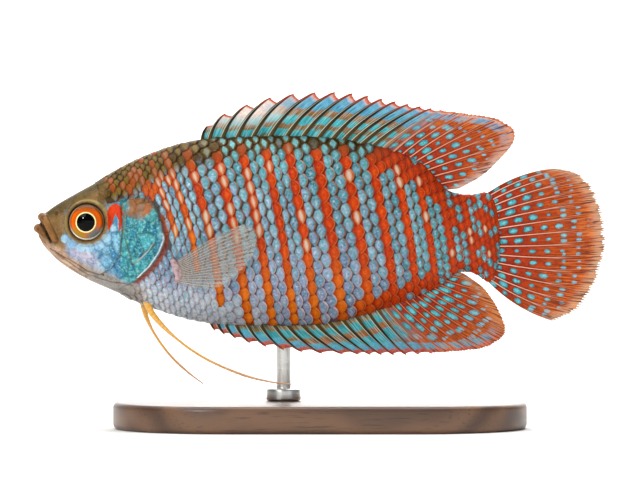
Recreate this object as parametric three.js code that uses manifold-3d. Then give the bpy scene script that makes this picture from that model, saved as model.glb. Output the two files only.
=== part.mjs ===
// Dwarf gourami (Trichogaster lalius), adult male, as a still life-size model on a plain display stand.
// Millimetres. The fish faces -X with its left side towards -Y, +Z is up, and the floor is z = 0.
import * as THREE from 'three';
import { mergeVertices } from 'three/addons/utils/BufferGeometryUtils.js';
import Module from 'manifold-3d';

const wasm = await Module();
wasm.setup();

// Driving dimensions. Heights of the fish are measured from its body axis, lengths from its middle.
const TOTAL_LENGTH = 85.8;
const AXIS_HEIGHT = 28.25;
const GAP = 0.3;
const SMALLEST = 0.008;
const SNOUT_X = -TOTAL_LENGTH / 2;
const TAIL_ROOT_X = 27.0;
const BODY_STATIONS = 36;
const BODY_SIDES = 24;

// A smooth curve through a list of [x, value] points.
function through(points) {
  const slope = points.map((p, i) => {
    const before = points[Math.max(i - 1, 0)];
    const after = points[Math.min(i + 1, points.length - 1)];
    return (after[1] - before[1]) / (after[0] - before[0]);
  });
  return (x) => {
    let i = 0;
    while (i < points.length - 2 && x > points[i + 1][0]) i++;
    const [x0, a] = points[i];
    const [x1, b] = points[i + 1];
    const step = x1 - x0;
    const t = THREE.MathUtils.clamp((x - x0) / step, 0, 1);
    const t2 = t * t;
    const t3 = t2 * t;
    const ends = a * (2 * t3 - 3 * t2 + 1) + b * (3 * t2 - 2 * t3);
    return ends + step * (slope[i] * (t3 - 2 * t2 + t) + slope[i + 1] * (t3 - t2));
  };
}

// Outlines of the body without fins: the back, the belly, the half width and the level where it is widest.
const backZ = through([
  [-42.2, 1.4], [-41.6, 3.6], [-40.5, 4.7], [-38.7, 5.9], [-33.3, 8.9], [-27.9, 11.9], [-22.5, 14.0],
  [-18.0, 15.0], [-10.5, 15.5], [-1.5, 15.5], [6.0, 14.6], [12.0, 13.1], [16.2, 10.8], [19.0, 7.6],
  [22.0, 6.8], [25.0, 7.2], [27.0, 7.6],
]);
const bellyZ = through([
  [-42.2, 0.4], [-41.4, -1.0], [-40.5, -2.0], [-38.7, -3.7], [-35.1, -5.9], [-31.5, -7.5], [-26.1, -9.8],
  [-18.0, -12.2], [-9.0, -12.75], [-1.5, -12.7], [4.5, -11.8], [9.0, -10.4], [15.0, -8.3], [18.0, -6.75],
  [20.7, -4.8], [23.0, -4.9], [25.0, -6.2], [27.0, -7.4],
]);
const halfWidth = through([
  [-42.2, 0.9], [-41.4, 1.9], [-40.0, 2.7], [-37.5, 3.8], [-34.0, 4.8], [-30.0, 5.6], [-25.0, 6.2],
  [-17.0, 6.3], [-8.0, 6.0], [0.0, 5.4], [8.0, 4.4], [14.0, 3.5], [20.0, 2.4], [25.0, 1.6], [27.0, 1.2],
]);
const widestZ = through([[-42.2, 0.9], [-40.0, 1.4], [-34.0, 1.6], [-22.0, 1.4], [0.0, 1.4], [18.0, 0.9], [27.0, 0.3]]);
// How sharp the back and the belly are: 0.5 is round, more is a ridge.
const backRidge = through([[-42.2, 0.5], [-30.0, 0.52], [-18.0, 0.62], [0.0, 0.68], [18.0, 0.64], [27.0, 0.5]]);
const bellyRidge = through([[-42.2, 0.5], [-30.0, 0.5], [-20.0, 0.54], [-12.0, 0.66], [0.0, 0.74], [18.0, 0.66], [27.0, 0.5]]);
const TAIL_ROUND_X = 24.9;

// The body's cross-section at x, grown outwards by a margin. Its end at the tail is rounded off.
function section(x, grow = 0) {
  const past = Math.max(0, (x - TAIL_ROUND_X) / (TAIL_ROOT_X - TAIL_ROUND_X));
  const end = Math.sqrt(Math.max(0.02, 1 - past * past));
  const middle = widestZ(x);
  return {
    middle,
    width: halfWidth(x) * end + grow,
    top: (backZ(x) - middle) * end + grow,
    bottom: (middle - bellyZ(x)) * end + grow,
    topRidge: backRidge(x),
    bottomRidge: bellyRidge(x),
  };
}

// Half the body's width at a place on its side view, or 0 outside it.
function sideY(x, z, grow = 0) {
  const s = section(x, grow);
  const up = z >= s.middle;
  const u = (z - s.middle) / (up ? s.top : s.bottom);
  const left = Math.max(0, 1 - u * u);
  return s.width * left ** (up ? s.topRidge : s.bottomRidge);
}

// Geometry and solids

function meshOf(vertices, triangles) {
  return new THREE.BufferGeometry()
    .setAttribute('position', new THREE.Float32BufferAttribute(vertices.flatMap((v) => [v.x, v.y, v.z]), 3))
    .setIndex(triangles);
}

// A closed body through rings of points, each with as many points as the next.
function loft(rings) {
  const sides = rings[0].length;
  const vertices = rings.flat();
  const triangles = [];
  for (let r = 0; r < rings.length - 1; r++) {
    for (let k = 0; k < sides; k++) {
      const a = r * sides + k;
      const b = r * sides + ((k + 1) % sides);
      triangles.push(a, b, b + sides, a, b + sides, a + sides);
    }
  }
  for (const [r, turn] of [[0, false], [rings.length - 1, true]]) {
    const centre = rings[r].reduce((sum, p) => sum.add(p), new THREE.Vector3()).divideScalar(sides);
    vertices.push(centre);
    for (let k = 0; k < sides; k++) {
      const a = r * sides + k;
      const b = r * sides + ((k + 1) % sides);
      triangles.push(...(turn ? [a, b, vertices.length - 1] : [b, a, vertices.length - 1]));
    }
  }
  return meshOf(vertices, triangles);
}

// A closed geometry as a solid for cutting and joining, faces turned out.
function solid(geometry) {
  const bare = geometry.clone();
  for (const name of Object.keys(bare.attributes)) if (name !== 'position') bare.deleteAttribute(name);
  const merged = mergeVertices(bare, 1e-4);
  const make = (triVerts) => new wasm.Manifold(
    new wasm.Mesh({ numProp: 3, vertProperties: merged.attributes.position.array, triVerts, tolerance: SMALLEST }),
  );
  const triangles = new Uint32Array(merged.index.array);
  const made = make(triangles);
  return made.volume() > 0 ? made : make(triangles.reverse());
}

const joined = (pieces) => pieces.reduce((sum, piece) => sum.add(piece));
const cutBy = (body, cutters) => cutters.reduce((left, cutter) => left.subtract(cutter), body);

// The largest closed surface of a solid, as a geometry.
function geometryOf(made) {
  const largest = made.decompose().reduce((a, b) => (b.volume() > a.volume() ? b : a));
  const mesh = largest.getMesh();
  return new THREE.BufferGeometry()
    .setAttribute('position', new THREE.Float32BufferAttribute(mesh.vertProperties, 3))
    .setIndex(Array.from(mesh.triVerts));
}

// A tube along a curve, round or flattened, with its half height and half width given by how far along it is.
function tube(curve, steps, sides, halfHeight, halfThick = halfHeight) {
  const frames = curve.computeFrenetFrames(steps, false);
  const rings = [];
  for (let r = 0; r <= steps; r++) {
    const t = r / steps;
    const centre = curve.getPointAt(t);
    const along = frames.tangents[r];
    const across = new THREE.Vector3(0, 1, 0).addScaledVector(along, -along.y).normalize();
    if (Math.abs(along.y) > 0.9) across.set(1, 0, 0).addScaledVector(along, -along.x).normalize();
    const up = new THREE.Vector3().crossVectors(along, across);
    rings.push(ring(sides, (c, s) => centre.clone()
      .addScaledVector(across, c * halfThick(t)).addScaledVector(up, s * halfHeight(t))));
  }
  return loft(rings);
}

function ring(sides, place) {
  return Array.from({ length: sides }, (_, k) => {
    const angle = (2 * Math.PI * k) / sides;
    return place(Math.cos(angle), Math.sin(angle));
  });
}

// A flat outline in side view, extruded right through the fish or on one side only.
function sidePrism(outline, fromY = -20, toY = 20) {
  const shape = new THREE.Shape(outline.map(([x, z]) => new THREE.Vector2(x, z)));
  const prism = new THREE.ExtrudeGeometry(shape, { depth: toY - fromY, bevelEnabled: false });
  return prism.rotateX(Math.PI / 2).translate(0, toY, 0);
}

// A thin cut along a line in side view.
function thinCut(line) {
  const points = line.map(([x, z]) => new THREE.Vector2(x, z));
  const normals = points.map((p, i) => {
    const along = points[Math.min(i + 1, points.length - 1)].clone().sub(points[Math.max(i - 1, 0)]).normalize();
    return new THREE.Vector2(-along.y, along.x);
  });
  const edge = (side) => points.map((p, i) => p.clone().addScaledVector(normals[i], (side * GAP) / 2).toArray());
  return solid(sidePrism([...edge(1), ...edge(-1).reverse()]));
}

// The body as one solid, grown or shrunk by a margin

function bodySolid(grow = 0) {
  const front = -42.2;
  const rings = [];
  for (let r = 0; r <= BODY_STATIONS; r++) {
    const t = r / BODY_STATIONS;
    // Stations crowd towards both ends, where the outline turns quickest.
    const x = THREE.MathUtils.lerp(front - grow, TAIL_ROOT_X + grow, t - Math.sin(2 * Math.PI * t) / 9);
    const s = section(THREE.MathUtils.clamp(x, front, TAIL_ROOT_X), grow);
    rings.push(ring(BODY_SIDES, (c, sn) => {
      const ridge = 2 * (sn >= 0 ? s.topRidge : s.bottomRidge);
      const y = Math.sign(c) * s.width * Math.abs(c) ** ridge;
      return new THREE.Vector3(x, y, s.middle + sn * (sn >= 0 ? s.top : s.bottom));
    }));
  }
  return solid(loft(rings));
}

const body = bodySolid();
const bodyGrown = bodySolid(GAP);

// Eye

const EYE = { x: -35.1, z: 2.8, radius: 2.6, depth: 2.0, bulge: 0.8, yaw: 0.3 };

function eyeBall(side, grow = 0) {
  const y = sideY(EYE.x, EYE.z) + EYE.bulge - EYE.depth;
  return new THREE.SphereGeometry(1, 18, 10)
    .scale(EYE.radius + grow, EYE.depth + grow, EYE.radius + grow)
    .rotateZ(-side * EYE.yaw)
    .translate(EYE.x, side * y, EYE.z);
}

// The raised rim of skin round the eye, laid on the cheek.
function eyeRim(side) {
  const steps = 18;
  const radius = EYE.radius + GAP + 0.25;
  const points = Array.from({ length: steps }, (_, k) => {
    const angle = (2 * Math.PI * k) / steps;
    const x = EYE.x + radius * Math.cos(angle);
    const z = EYE.z + radius * Math.sin(angle);
    return new THREE.Vector3(x, side * (sideY(x, z) - 0.1), z);
  });
  const path = new THREE.CatmullRomCurve3(points, true);
  const rings = points.map((_, k) => {
    const centre = path.getPoint(k / steps);
    const out = centre.clone().sub(new THREE.Vector3(EYE.x, centre.y, EYE.z)).normalize();
    return ring(6, (c, s) => centre.clone().addScaledVector(out, 0.42 * c).add(new THREE.Vector3(0, 0.42 * s, 0)));
  });
  const vertices = rings.flat();
  const triangles = [];
  for (let r = 0; r < steps; r++) {
    for (let k = 0; k < 6; k++) {
      const next = (r + 1) % steps;
      const [a, b] = [r * 6 + k, r * 6 + ((k + 1) % 6)];
      const [c, d] = [next * 6 + k, next * 6 + ((k + 1) % 6)];
      triangles.push(a, b, d, a, d, c);
    }
  }
  return solid(meshOf(vertices, triangles));
}

// Jaws: each lip is one roll that runs round the front of the snout from corner to corner

function lipPath(half) {
  const mirrored = half.slice(0, -1).map((p) => new THREE.Vector3(p.x, -p.y, p.z)).reverse();
  return new THREE.CatmullRomCurve3([...half, ...mirrored]);
}
const upperLip = lipPath([
  new THREE.Vector3(-39.4, -3.2, 0.0), new THREE.Vector3(-40.4, -2.65, 1.8), new THREE.Vector3(-41.2, -1.6, 3.1),
  new THREE.Vector3(-41.65, 0, 3.45),
]);
const lowerLip = lipPath([
  new THREE.Vector3(-40.2, -2.75, -0.4), new THREE.Vector3(-41.2, -2.1, 0.95), new THREE.Vector3(-41.95, -1.2, 1.65),
  new THREE.Vector3(-42.25, 0, 1.75),
]);
const lipRadius = (grow) => (t) => 0.42 + 0.24 * Math.sin(Math.PI * t) + grow;
const lipSolid = (path, grow = 0) => solid(tube(path, 16, 8, lipRadius(grow)));

const MOUTH_CORNER = [-39.6, -0.7];
const mouthCut = thinCut([[-45, 2.5], [-41.2, 2.5], [-40.5, 1.0], MOUTH_CORNER]);
const jawCut = thinCut([MOUTH_CORNER, [-39.0, -2.2], [-38.2, -6.0]]);
const nostril = (side) => solid(
  new THREE.SphereGeometry(0.36, 8, 6).translate(-39.4, side * (sideY(-39.4, 3.9) + 0.08), 3.9),
);

// Gill cover: a curved plate set into the side of the head, standing a little proud of it

const GILL_OUTLINE = [
  [-29.6, 5.0], [-27.5, 5.9], [-25.4, 5.9], [-24.3, 4.2], [-23.4, 2.2], [-23.0, 0.1], [-23.8, -1.9],
  [-25.2, -3.9], [-27.0, -5.6], [-29.0, -6.6], [-31.0, -6.6], [-30.6, -5.2], [-29.8, -3.4], [-29.5, -1.0], [-29.7, 2.0],
];
const GILL_PROUD = 0.3;
const GILL_THICK = 1.1;

// An outline moved outwards by a margin, each corner along the mean of its two sides' normals.
function widened(outline, margin) {
  return outline.map(([x, z], i) => {
    const [x0, z0] = outline[(i + outline.length - 1) % outline.length];
    const [x1, z1] = outline[(i + 1) % outline.length];
    const length = Math.hypot(x1 - x0, z1 - z0);
    return [x - (margin * (z1 - z0)) / length, z + (margin * (x1 - x0)) / length];
  });
}

const insideGill = bodySolid(GILL_PROUD - GILL_THICK);
const gillSeatFloor = bodySolid(GILL_PROUD - GILL_THICK - GAP);
const gillOuter = bodySolid(GILL_PROUD);
const onSide = (side, outline) => solid(side < 0 ? sidePrism(outline, -20, -0.5) : sidePrism(outline, 0.5, 20));
const gillCover = (side) => gillOuter.intersect(onSide(side, GILL_OUTLINE)).subtract(insideGill);
const gillSeat = (side) => onSide(side, widened(GILL_OUTLINE, GAP)).subtract(gillSeatFloor);

// Head, trunk and tail root are parted by thin cuts behind the gill covers and in front of the tail fin

const neckCut = thinCut([
  [-26.0, 20], [-25.6, 12], [-24.6, 6.4], [-23.4, 3.6], [-22.6, 0.1], [-23.5, -2.2], [-25.0, -4.4],
  [-27.0, -6.4], [-29.2, -8.4], [-30.0, -14],
]);
const tailCut = thinCut([[18.6, 20], [19.8, 1], [20.6, -12]]);
const sockets = [-1, 1].map((side) => solid(eyeBall(side, GAP)));
const upperLipRoom = lipSolid(upperLip, GAP);
const lowerLipRoom = lipSolid(lowerLip, GAP);

const cuts = [mouthCut, jawCut, neckCut, tailCut];
const bodyPieces = cutBy(body, cuts).decompose()
  .map((piece) => ({ piece, x: (piece.boundingBox().min[0] + piece.boundingBox().max[0]) / 2 }))
  .filter(({ piece }) => piece.volume() > 2)
  .sort((a, b) => a.x - b.x)
  .map(({ piece }) => piece);
const [jawPiece, headPiece, trunkPiece, tailPiece] = bodyPieces;

function headSolid() {
  const rimmed = joined([headPiece, ...[-1, 1].map(eyeRim)]);
  const room = [...sockets, upperLipRoom, lowerLipRoom, ...[-1, 1].map(gillSeat), ...[-1, 1].map(nostril)];
  return cutBy(rimmed, [...room, mouthCut, jawCut, neckCut]);
}

// Fins: rays as ridges on a membrane. Each fin is given by where its rays leave the body and where they end.

// A point of ray i of a fin, v from 0 at the root to 1 at the tip, on a gently bent ray.
function rayPoint(fin, i, v) {
  const t = i / (fin.rays - 1);
  const base = fin.base(t);
  const tip = fin.tip(t);
  const along = tip.clone().sub(base);
  const bend = new THREE.Vector2(-along.y, along.x).multiplyScalar(fin.bend(t) * 4 * v * (1 - v));
  return base.clone().addScaledVector(along, v).add(bend);
}

// A closed plate: for each ray a crest and a flank on either side, with the ridge's height in the plate's thickness.
function finGeometry(fin) {
  const columns = [];
  for (let i = 0; i < fin.rays; i++) {
    if (i > 0) columns.push({ ray: i, side: -1 });
    columns.push({ ray: i, side: 0 });
    if (i < fin.rays - 1) columns.push({ ray: i, side: 1 });
  }
  const rows = [-fin.sunk, ...Array.from({ length: fin.rows }, (_, k) => (k + 0.15) / (fin.rows - 0.85))];
  const place = ({ ray, side }, v) => {
    const t = ray / (fin.rays - 1);
    const reach = side === 0 ? 1 : fin.reach(t, side);
    const own = rayPoint(fin, ray, v * reach);
    const thick = side === 0 ? fin.ridge(t, v) : fin.membrane;
    const flat = side === 0 ? own : own.lerp(rayPoint(fin, ray + side, v * reach), fin.flank);
    const y = fin.y(flat.x, flat.y, v);
    return [1, -1].map((face) => new THREE.Vector3(flat.x, y + (face * thick) / 2, flat.y));
  };
  const vertices = columns.flatMap((column) => rows.flatMap((v) => place(column, v)));
  const index = (c, r, face) => (c * rows.length + r) * 2 + face;
  const triangles = [];
  const quad = (a, b, c, d) => triangles.push(a, b, c, a, c, d);
  const [lastC, lastR] = [columns.length - 1, rows.length - 1];
  for (let c = 0; c < lastC; c++) {
    for (let r = 0; r < lastR; r++) {
      quad(index(c, r, 0), index(c + 1, r, 0), index(c + 1, r + 1, 0), index(c, r + 1, 0));
      const [a, b] = [index(c, r, 1), index(c + 1, r, 1)];
      const [d, e] = [index(c + 1, r + 1, 1), index(c, r + 1, 1)];
      triangles.push(a, d, b, a, e, d);
    }
    quad(index(c, 0, 1), index(c + 1, 0, 1), index(c + 1, 0, 0), index(c, 0, 0));
    quad(index(c, lastR, 0), index(c + 1, lastR, 0), index(c + 1, lastR, 1), index(c, lastR, 1));
  }
  for (let r = 0; r < lastR; r++) {
    quad(index(0, r, 0), index(0, r + 1, 0), index(0, r + 1, 1), index(0, r, 1));
    quad(index(lastC, r, 1), index(lastC, r + 1, 1), index(lastC, r + 1, 0), index(lastC, r, 0));
  }
  return meshOf(vertices, triangles);
}

const flatCurve = (xPoints, zPoints) => {
  const [x, z] = [through(xPoints), through(zPoints)];
  return (t) => new THREE.Vector2(x(t), z(t));
};
const split = (points) => [points.map(([t, x]) => [t, x]), points.map(([t, , z]) => [t, z])];
const tipCurve = (points) => flatCurve(...split(points));

// Spines come to free points: behind one the membrane is joined near its tip, and in front of it lower down.
const spinyReach = (spines) => (t, side) => {
  const free = THREE.MathUtils.clamp((spines - t) * 5, 0, 1);
  return 1 - free * (side > 0 ? 0.07 : 0.2) - (1 - free) * 0.015;
};

const DORSAL_SPINES = 0.62;
const dorsalX = through([
  [0, -17.9], [0.043, -16.7], [0.13, -12.6], [0.304, -2.8], [0.391, 1.65], [0.522, 6.15], [0.652, 11.0],
  [0.783, 14.4], [1, 18.9],
]);
const dorsalFin = {
  rays: 24,
  rows: 5,
  sunk: 0.22,
  flank: 0.24,
  membrane: 0.5,
  base: (t) => new THREE.Vector2(dorsalX(t), backZ(dorsalX(t)) - 0.2),
  tip: tipCurve([
    [0, -17.0, 17.15], [0.043, -14.3, 19.0], [0.13, -7.45, 21.4], [0.217, -0.7, 22.2], [0.304, 4.9, 22.05],
    [0.391, 9.4, 21.25], [0.522, 15.2, 20.1], [0.652, 19.9, 19.3], [0.739, 24.0, 18.75], [0.783, 26.9, 18.1],
    [0.826, 29.1, 16.6], [0.87, 29.0, 14.5], [0.913, 26.9, 12.0], [0.957, 24.3, 9.6], [1, 20.9, 7.7],
  ]),
  bend: (t) => 0.1 * (1 - t),
  ridge: (t, v) => 0.3 + (0.75 - 0.25 * t) * (1 - Math.max(0, v)),
  reach: spinyReach(DORSAL_SPINES),
  y: () => 0,
};

const ANAL_SPINES = 0.52;
const analX = through([[0, -16.6], [0.1, -13.3], [0.23, -6.7], [0.36, 0.6], [0.52, 8.6], [1, 20.5]]);
const analFin = {
  rays: 28,
  rows: 5,
  sunk: 0.25,
  flank: 0.24,
  membrane: 0.5,
  base: (t) => new THREE.Vector2(analX(t), bellyZ(analX(t)) + 0.2),
  tip: tipCurve([
    [0, -15.7, -13.7], [0.065, -13.0, -14.7], [0.13, -9.3, -15.8], [0.23, -2.1, -16.9], [0.32, 5.1, -17.2],
    [0.42, 9.9, -17.3], [0.52, 14.9, -17.2], [0.61, 19.8, -16.8], [0.71, 24.7, -16.2], [0.78, 27.2, -14.8],
    [0.83, 27.9, -13.4], [0.88, 26.9, -10.6], [0.94, 24.7, -7.3], [1, 21.6, -5.0],
  ]),
  bend: (t) => -0.08 * (1 - t),
  ridge: (t, v) => 0.3 + 0.6 * (1 - Math.max(0, v)),
  reach: spinyReach(ANAL_SPINES),
  y: () => 0,
};

const caudalFin = {
  rays: 15,
  rows: 6,
  sunk: 0.1,
  flank: 0.22,
  membrane: 0.5,
  base: (t) => {
    const angle = THREE.MathUtils.degToRad(76) * (1 - 2 * t);
    return new THREE.Vector2(24.9 + 2.0 * Math.cos(angle), 0.4 + 7.1 * Math.sin(angle));
  },
  tip: tipCurve([
    [0, 35.4, 10.8], [0.15, 38.9, 10.0], [0.3, 41.5, 7.2], [0.5, 42.9, 1.8], [0.65, 42.6, -2.7],
    [0.8, 40.8, -7.6], [0.9, 38.6, -10.5], [1, 35.1, -12.2],
  ]),
  bend: (t) => 0.13 * (0.5 - t),
  ridge: (t, v) => 0.35 + 0.85 * (1 - Math.max(0, v)) ** 1.5,
  reach: () => 0.965,
  y: () => 0,
};

// The pectoral fin trails back along the flank, lifted off it towards its tips.
const PECTORAL = { x: -21.0, z: -4.7, halfRoot: 1.7, lift: 1.5, root: 0.75 };
const pectoralFin = (side) => ({
  rays: 10,
  rows: 4,
  sunk: 0.01,
  flank: 0.24,
  membrane: 0.5,
  base: (t) => new THREE.Vector2(PECTORAL.x + 0.4 * Math.sin(Math.PI * t), PECTORAL.z + PECTORAL.halfRoot * (1 - 2 * t)),
  tip: tipCurve([
    [0, -11.2, 2.4], [0.15, -9.6, 1.6], [0.3, -9.2, 0.2], [0.45, -9.5, -1.5], [0.6, -10.4, -3.2],
    [0.75, -11.9, -4.9], [0.9, -14.2, -6.6], [1, -16.2, -7.3],
  ]),
  bend: (t) => 0.06 * (0.5 - t),
  ridge: (t, v) => 0.5 + 0.45 * (1 - Math.max(0, v)),
  reach: () => 0.96,
  y: (x, z, v) => side * (sideY(x, z) + PECTORAL.root + PECTORAL.lift * Math.max(0, v) ** 1.2),
});

// The fleshy lobe that the pectoral rays spring from.
const pectoralLobe = (side) => solid(
  new THREE.SphereGeometry(1, 10, 6).scale(1.0, 0.95, 2.1).rotateY(0.25)
    .translate(PECTORAL.x - 0.5, side * (sideY(PECTORAL.x, PECTORAL.z) + 0.35), PECTORAL.z),
);

const pelvicPath = (points) => new THREE.CatmullRomCurve3(points.map(([x, y, z]) => new THREE.Vector3(x, y, z)));
const pelvicLeft = pelvicPath([
  [-26.2, -1.5, -8.6], [-25.0, -2.0, -11.1], [-21.8, -2.6, -14.4], [-17.4, -3.0, -17.5], [-11.8, -3.2, -20.0],
  [-7.6, -3.2, -21.1], [-4.3, -3.1, -21.5],
]);
const pelvicRight = pelvicPath([
  [-26.7, 1.5, -8.6], [-26.2, 2.0, -11.4], [-24.9, 2.6, -14.2], [-22.6, 3.1, -17.4], [-20.0, 3.4, -19.9],
  [-17.6, 3.5, -21.7],
]);
const pelvicRadius = (t) => 0.14 + 0.12 * Math.min(1, 4 * (1 - t)) + 0.42 * Math.max(0, 1 - 3.4 * t);

const finSolid = (fin) => cutBy(solid(finGeometry(fin)), [bodyGrown]);
const pectoralSolid = (side) => cutBy(joined([solid(finGeometry(pectoralFin(side))), pectoralLobe(side)]), [bodyGrown]);
const pelvicSolid = (path) => cutBy(solid(tube(path, 22, 7, pelvicRadius)), [bodyGrown]);

// Stand: a flat base and one rod that meets the far side of the belly, behind the anal fin

const BASE = { length: 62, width: 34, height: 4, corner: 16.9, edge: 0.8 };
const ROD = { x: -5.5, y: 3.1, radius: 1.1, collarRadius: 2.6, collarHeight: 1.6 };

function standBase() {
  const [hx, hy, r] = [BASE.length / 2 - BASE.edge, BASE.width / 2 - BASE.edge, BASE.corner - BASE.edge];
  const shape = new THREE.Shape();
  shape.absarc(hx - r, hy - r, r, 0, Math.PI / 2);
  shape.absarc(r - hx, hy - r, r, Math.PI / 2, Math.PI);
  shape.absarc(r - hx, r - hy, r, Math.PI, 1.5 * Math.PI);
  shape.absarc(hx - r, r - hy, r, 1.5 * Math.PI, 2 * Math.PI);
  return new THREE.ExtrudeGeometry(shape, {
    depth: BASE.height - 2 * BASE.edge,
    bevelThickness: BASE.edge,
    bevelSize: BASE.edge,
    bevelSegments: 1,
    curveSegments: 10,
  }).translate(0, 0, BASE.edge);
}

function standRod() {
  const foot = BASE.height + ROD.collarHeight + 2 * GAP;
  const upper = AXIS_HEIGHT + 0.5;
  const rod = new THREE.CylinderGeometry(ROD.radius, ROD.radius, upper - foot, 20)
    .rotateX(Math.PI / 2).translate(ROD.x, ROD.y, (upper + foot) / 2);
  return solid(rod).subtract(bodyGrown.translate([0, 0, AXIS_HEIGHT]));
}

function standCollar() {
  const [outer, low] = [ROD.collarRadius, BASE.height + GAP];
  const high = low + ROD.collarHeight;
  const profile = [[0, low], [outer, low], [outer, high - 0.5], [outer - 0.5, high], [0, high]];
  return new THREE.LatheGeometry(profile.map(([x, y]) => new THREE.Vector2(x, y)), 24)
    .rotateX(Math.PI / 2).translate(ROD.x, ROD.y, 0);
}

// The rod keeps its lowest piece only: what stands above the flank is cut away.
function rodBelowBody() {
  const pieces = standRod().decompose();
  return pieces.reduce((a, b) => (b.boundingBox().min[2] < a.boundingBox().min[2] ? b : a));
}

// Materials by finish

const finish = (color, roughness, metalness = 0) => new THREE.MeshStandardMaterial({ color, roughness, metalness });
const materials = {
  oliveHead: finish(0x8a7038, 0.4),
  lip: finish(0x8f6b45, 0.45),
  chin: finish(0xb99a86, 0.4),
  gill: finish(0x3f9fc4, 0.3, 0.2),
  iris: finish(0xd8640f, 0.15),
  flank: finish(0x8aa6c2, 0.35, 0.1),
  tailRoot: finish(0xb8582c, 0.35),
  redFin: finish(0xc8411a, 0.45),
  clearFin: finish(0xb9bda8, 0.4),
  thread: finish(0xd89a2e, 0.4),
  steel: finish(0xb4b6ba, 0.3, 1),
  lacquer: finish(0xd9d6cf, 0.5),
};

const fish = new THREE.Group();
fish.position.z = AXIS_HEIGHT;
const stand = new THREE.Group();

function add(group, name, shape, material) {
  const geometry = shape.isBufferGeometry ? shape : geometryOf(shape);
  const mesh = new THREE.Mesh(geometry, material);
  mesh.name = name;
  group.add(mesh);
}

add(fish, 'head', headSolid(), materials.oliveHead);
add(fish, 'upper_jaw', lipSolid(upperLip), materials.lip);
add(fish, 'lower_jaw', cutBy(joined([jawPiece, lipSolid(lowerLip)]), [upperLipRoom, jawCut]), materials.chin);
add(fish, 'trunk', cutBy(trunkPiece, [-1, 1].map(gillSeat)), materials.flank);
add(fish, 'tail_root', tailPiece, materials.tailRoot);
for (const [side, word] of [[-1, 'left'], [1, 'right']]) {
  add(fish, `eye_${word}`, solid(eyeBall(side)), materials.iris);
  add(fish, `gill_cover_${word}`, gillCover(side), materials.gill);
  add(fish, `pectoral_fin_${word}`, pectoralSolid(side), materials.clearFin);
  add(fish, `pelvic_fin_${word}`, pelvicSolid(side < 0 ? pelvicLeft : pelvicRight), materials.thread);
}
add(fish, 'dorsal_fin', finSolid(dorsalFin), materials.redFin);
add(fish, 'anal_fin', finSolid(analFin), materials.redFin);
add(fish, 'caudal_fin', finSolid(caudalFin), materials.redFin);
add(stand, 'stand_base', solid(standBase()), materials.lacquer);
add(stand, 'stand_collar', solid(standCollar()), materials.steel);
add(stand, 'stand_rod', rodBelowBody(), materials.steel);

const model = new THREE.Group();
model.add(fish, stand);
export default model;
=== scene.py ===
# Dwarf gourami, adult male, as a life-size museum model on a plain stand.
# Everything is worked out in millimetres and put in metres when a mesh is made. The fish's z is from its body
# axis, the stand's from the floor. The photo's side is the left one, at negative y.
import functools
import math

import bpy
import numpy as np
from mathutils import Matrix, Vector


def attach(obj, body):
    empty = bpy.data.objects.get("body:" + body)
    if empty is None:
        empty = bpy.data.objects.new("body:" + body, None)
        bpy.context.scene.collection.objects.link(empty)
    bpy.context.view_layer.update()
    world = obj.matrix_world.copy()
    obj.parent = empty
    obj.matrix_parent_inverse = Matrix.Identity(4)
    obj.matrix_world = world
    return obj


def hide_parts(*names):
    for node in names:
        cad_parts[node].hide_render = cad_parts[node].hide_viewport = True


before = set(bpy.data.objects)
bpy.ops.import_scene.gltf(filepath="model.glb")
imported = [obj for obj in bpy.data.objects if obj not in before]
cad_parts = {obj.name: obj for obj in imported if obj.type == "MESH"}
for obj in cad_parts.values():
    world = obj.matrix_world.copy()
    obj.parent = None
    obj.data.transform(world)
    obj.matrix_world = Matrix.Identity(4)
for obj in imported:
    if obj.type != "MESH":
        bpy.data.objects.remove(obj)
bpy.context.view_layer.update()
millimetre = 0.001
axisHeight = 28.25
seeded = np.random.default_rng(11)


# Curves and meshes

def through(points):
    # a smooth curve through [x, value] points
    xs, ys = np.array(points, float).T
    slopes = np.empty_like(ys)
    slopes[1:-1] = (ys[2:] - ys[:-2]) / (xs[2:] - xs[:-2])
    slopes[0] = (ys[1] - ys[0]) / (xs[1] - xs[0])
    slopes[-1] = (ys[-1] - ys[-2]) / (xs[-1] - xs[-2])

    def curve(x):
        x = np.clip(np.asarray(x, float), xs[0], xs[-1])
        i = np.clip(np.searchsorted(xs, x, side="right") - 1, 0, len(xs) - 2)
        step = xs[i + 1] - xs[i]
        t = (x - xs[i]) / step
        ends = ys[i] * (2 * t**3 - 3 * t**2 + 1) + ys[i + 1] * (3 * t**2 - 2 * t**3)
        return ends + step * (slopes[i] * (t**3 - 2 * t**2 + t) + slopes[i + 1] * (t**3 - t**2))

    return curve


def along(points, t):
    # places on a smooth path through 2-D or 3-D points, t from 0 to 1
    points = np.array(points, float)
    lengths = np.concatenate([[0], np.cumsum(np.linalg.norm(np.diff(points, axis=0), axis=1))])
    lengths /= lengths[-1]
    return np.stack([through(np.stack([lengths, c], 1))(t) for c in points.T], -1)


def circle(count):
    return np.linspace(0, 2 * np.pi, count, endpoint=False)


def smoothStep(low, high, value):
    # 0 below low and 1 above high; turned round where high is the lower one
    t = np.clip((value - low) / (high - low), 0, 1)
    return t * t * (3 - 2 * t)


def bump(value, width):
    # 1 at 0, fading away on both sides
    return np.exp(-((value / width) ** 2))


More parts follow.
